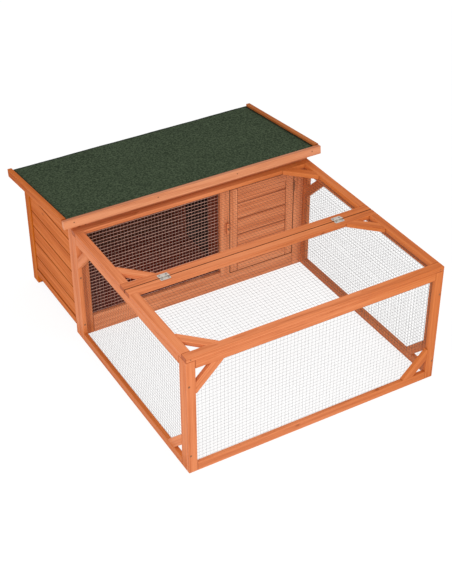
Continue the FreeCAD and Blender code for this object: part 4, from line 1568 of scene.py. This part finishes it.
class HUTCH_OT_hinges(bpy.types.Operator):
    """Make the lid's zinc hinges with their screws, and finish the other hinges"""

    bl_idname = "hutch.hinges"
    bl_label = "Hinges"

    def execute(self, context):
        zinc, steel = Finishes.get("zinc"), Finishes.get("screw")
        hinge = LidHinge()
        for name, way in (("fixed", 1), ("moving", -1)):
            node = "lid_hinge_" + name + "_leaves"
            leaves, screws = Surface(), Surface()
            for x in (-hinge.place, hinge.place):
                hinge.leaf(leaves, x, way)
                hinge.screws(screws, x, way)
            leaves.piece("lid_hinge_" + name + "_zinc", node, "hinge_zinc", zinc)
            screws.piece("lid_hinge_" + name + "_screws", node, "fasteners", steel, replaces=False)
        for place in ("door", "roof"):
            for name in ("fixed", "moving"):
                refinish(place + "_hinge_" + name + "_leaves", Finishes.get("nail"))
        refinish("hinge_pins", zinc)
        return {"FINISHED"}


class HUTCH_OT_fasteners(bpy.types.Operator):
    """Make the turn button's screw and the frame's nail heads, and finish the other screws and nails"""

    bl_idname = "hutch.fasteners"
    bl_label = "Fasteners"

    def execute(self, context):
        look = settings().hardware
        gap = settings().timber.face_gap
        nail = Finishes.get("nail")
        self.button_screw()
        low, high = box_of("lid_long_rails")
        inset, level = STOCK_WIDTH / 2, (low[Z] + high[Z]) / 2
        places = [(x, low[Y] + gap, level) for x in (low[X] + inset, high[X] - inset)]
        made = nails(look.nail_head, places, (0, -1, 0))
        made.piece("lid_nails", "lid_long_rails", "fasteners", nail, replaces=False)
        for side, way in (("left", -1), ("right", 1)):
            low, high = box_of(side + "_panel_stiles")
            face = (high if way > 0 else low)[X] - way * gap
            heights = (look.stile_nail_low, look.stile_nail_high)
            places = [(face, high[Y] - STOCK_WIDTH / 2, z) for z in heights]
            made = nails(look.nail_head, places, (way, 0, 0))
            made.piece(side + "_stile_nails", side + "_panel_stiles", "fasteners", nail, replaces=False)
        refinish("panel_screws", nail)
        refinish("fascia_nails", nail)
        return {"FINISHED"}

    def button_screw(self):
        """The turn button's screw: its head on the button, its shank through to the mullion."""
        points = points_of("turn_button_screw")
        low, high = points.min(axis=0), points.max(axis=0)
        middle = (low + high) / 2
        shank = points[points[:, Y] > middle[Y]]
        shank_radius = (shank[:, X].max() - shank[:, X].min()) / 2
        head_radius = (high[X] - low[X]) / 2
        away = np.hypot(points[:, X] - middle[X], points[:, Z] - middle[Z])
        seat = points[away > shank_radius * SHANK_CLEAR][:, Y].max()
        made, faces = screw(head_radius, seat - low[Y], shank_radius, high[Y] - seat)
        surface = Surface()
        surface.add(laid_to(made, (0, -1, 0)) + [middle[X], seat, middle[Z]], faces)
        surface.piece("turn_button_screw_steel", "turn_button_screw", "fasteners", Finishes.get("nail"))


# Stage


CLOUD_SCALE = 2.0
CLOUD_PART = 0.98
FLOOR_ROUGHNESS = 0.9
FLOOR_GLOSS = 0.1


class HUTCH_OT_stage(bpy.types.Operator):
    """Set the floor, the soft studio light and the camera at the photograph's view"""

    bl_idname = "hutch.stage"
    bl_label = "Stage"

    def execute(self, context):
        look = settings().stage
        scene = context.scene
        self.floor(scene, look)
        world = bpy.data.worlds.new("white studio")
        world.use_nodes = True
        background = world.node_tree.nodes["Background"]
        background.inputs["Color"].default_value = WHITE
        background.inputs["Strength"].default_value = look.sky
        scene.world = world
        self.lamp(scene, "key", look.key_place, look.key_power, look.light_size)
        self.lamp(scene, "fill", look.fill_place, look.fill_power, look.light_size)
        scene.view_settings.view_transform = "Standard"
        self.camera(scene, look)
        return {"FINISHED"}

    def floor(self, scene, look):
        """A level square of pale floor, lit a little from below as a light table is."""
        size = look.floor_size
        corners = [(-size, -size, 0), (size, -size, 0), (size, size, 0), (-size, size, 0)]
        mesh = bpy.data.meshes.new("floor")
        mesh.from_pydata(corners, [], [(0, 1, 2, 3)])

        def build(start):
            cloud = start.place().noise(CLOUD_SCALE, FINE_DETAIL)
            return {
                "Base Color": cloud.mix(colour(look.floor_colour), colour(look.floor_colour, CLOUD_PART)),
                "Roughness": FLOOR_ROUGHNESS,
                "Specular IOR Level": FLOOR_GLOSS,
                "Emission Color": WHITE,
                "Emission Strength": look.floor_glow,
            }

        mesh.materials.append(finish("pale floor", build))
        floor = bpy.data.objects.new("floor", mesh)
        scene.collection.objects.link(floor)

    def lamp(self, scene, name, place, watts, size):
        """A square soft light aimed at the hutch's middle."""
        data = bpy.data.lights.new(name, "AREA")
        data.energy = watts
        data.size = size
        lamp = bpy.data.objects.new(name, data)
        lamp.location = place
        middle = (Vector(CAD_BOX[0]) + Vector(CAD_BOX[1])) / 2
        lamp.rotation_euler = (middle - Vector(place)).to_track_quat("-Z", "Y").to_euler()
        scene.collection.objects.link(lamp)

    def camera(self, scene, look):
        """A camera at the photograph's view: its direction from a turn and a fall, then a small roll."""
        data = bpy.data.cameras.new("camera")
        data.sensor_width = SENSOR
        data.lens = look.focal_pixels * SENSOR / IMAGE_LONG_SIDE
        ahead = Vector((math.sin(look.azimuth), math.cos(look.azimuth), 0.0))
        level = Vector((math.cos(look.azimuth), -math.sin(look.azimuth), 0.0))
        forward = ahead * math.cos(look.drop) - Vector((0, 0, 1)) * math.sin(look.drop)
        up = level.cross(forward)
        right = math.cos(look.roll) * level + math.sin(look.roll) * up
        over = math.cos(look.roll) * up - math.sin(look.roll) * level
        turn = Matrix((right, over, -forward)).transposed().to_4x4()
        camera = bpy.data.objects.new("camera", data)
        camera.matrix_world = Matrix.Translation(look.camera_place) @ turn
        scene.collection.objects.link(camera)
        scene.camera = camera


OPERATORS = (
    HUTCH_OT_run_panels, HUTCH_OT_top_frames, HUTCH_OT_nets, HUTCH_OT_house_frame, HUTCH_OT_wall_boards,
    HUTCH_OT_partition, HUTCH_OT_door, HUTCH_OT_turn_button, HUTCH_OT_roof, HUTCH_OT_hinges,
    HUTCH_OT_fasteners, HUTCH_OT_stage,
)


class HUTCH_PT_sidebar(bpy.types.Panel):
    """Sidebar that lists the hutch's pieces in the order they are made"""

    bl_label = "Guinea Pig Hutch"
    bl_idname = "HUTCH_PT_sidebar"
    bl_space_type = "VIEW_3D"
    bl_region_type = "UI"
    bl_category = "Hutch"

    def draw(self, context):
        for operator in OPERATORS:
            self.layout.operator(operator.bl_idname)


CLASSES = (
    TimberSettings, NetSettings, RoofSettings, HardwareSettings, StageSettings, HutchSettings,
    *OPERATORS, HUTCH_PT_sidebar,
)


def register():
    """Register the settings, the operators and the sidebar."""
    for made in CLASSES:
        bpy.utils.register_class(made)
    bpy.types.Scene.hutch = PointerProperty(
        type=HutchSettings, name="Hutch", description="Settings of the hutch")


def unregister():
    """Undo register, in the opposite order."""
    del bpy.types.Scene.hutch
    for made in reversed(CLASSES):
        bpy.utils.unregister_class(made)


def main():
    """Make every piece and the stage."""
    register()
    for operator in OPERATORS:
        group, name = operator.bl_idname.split(".")
        getattr(getattr(bpy.ops, group), name)()


if __name__ == "__main__":
    main()
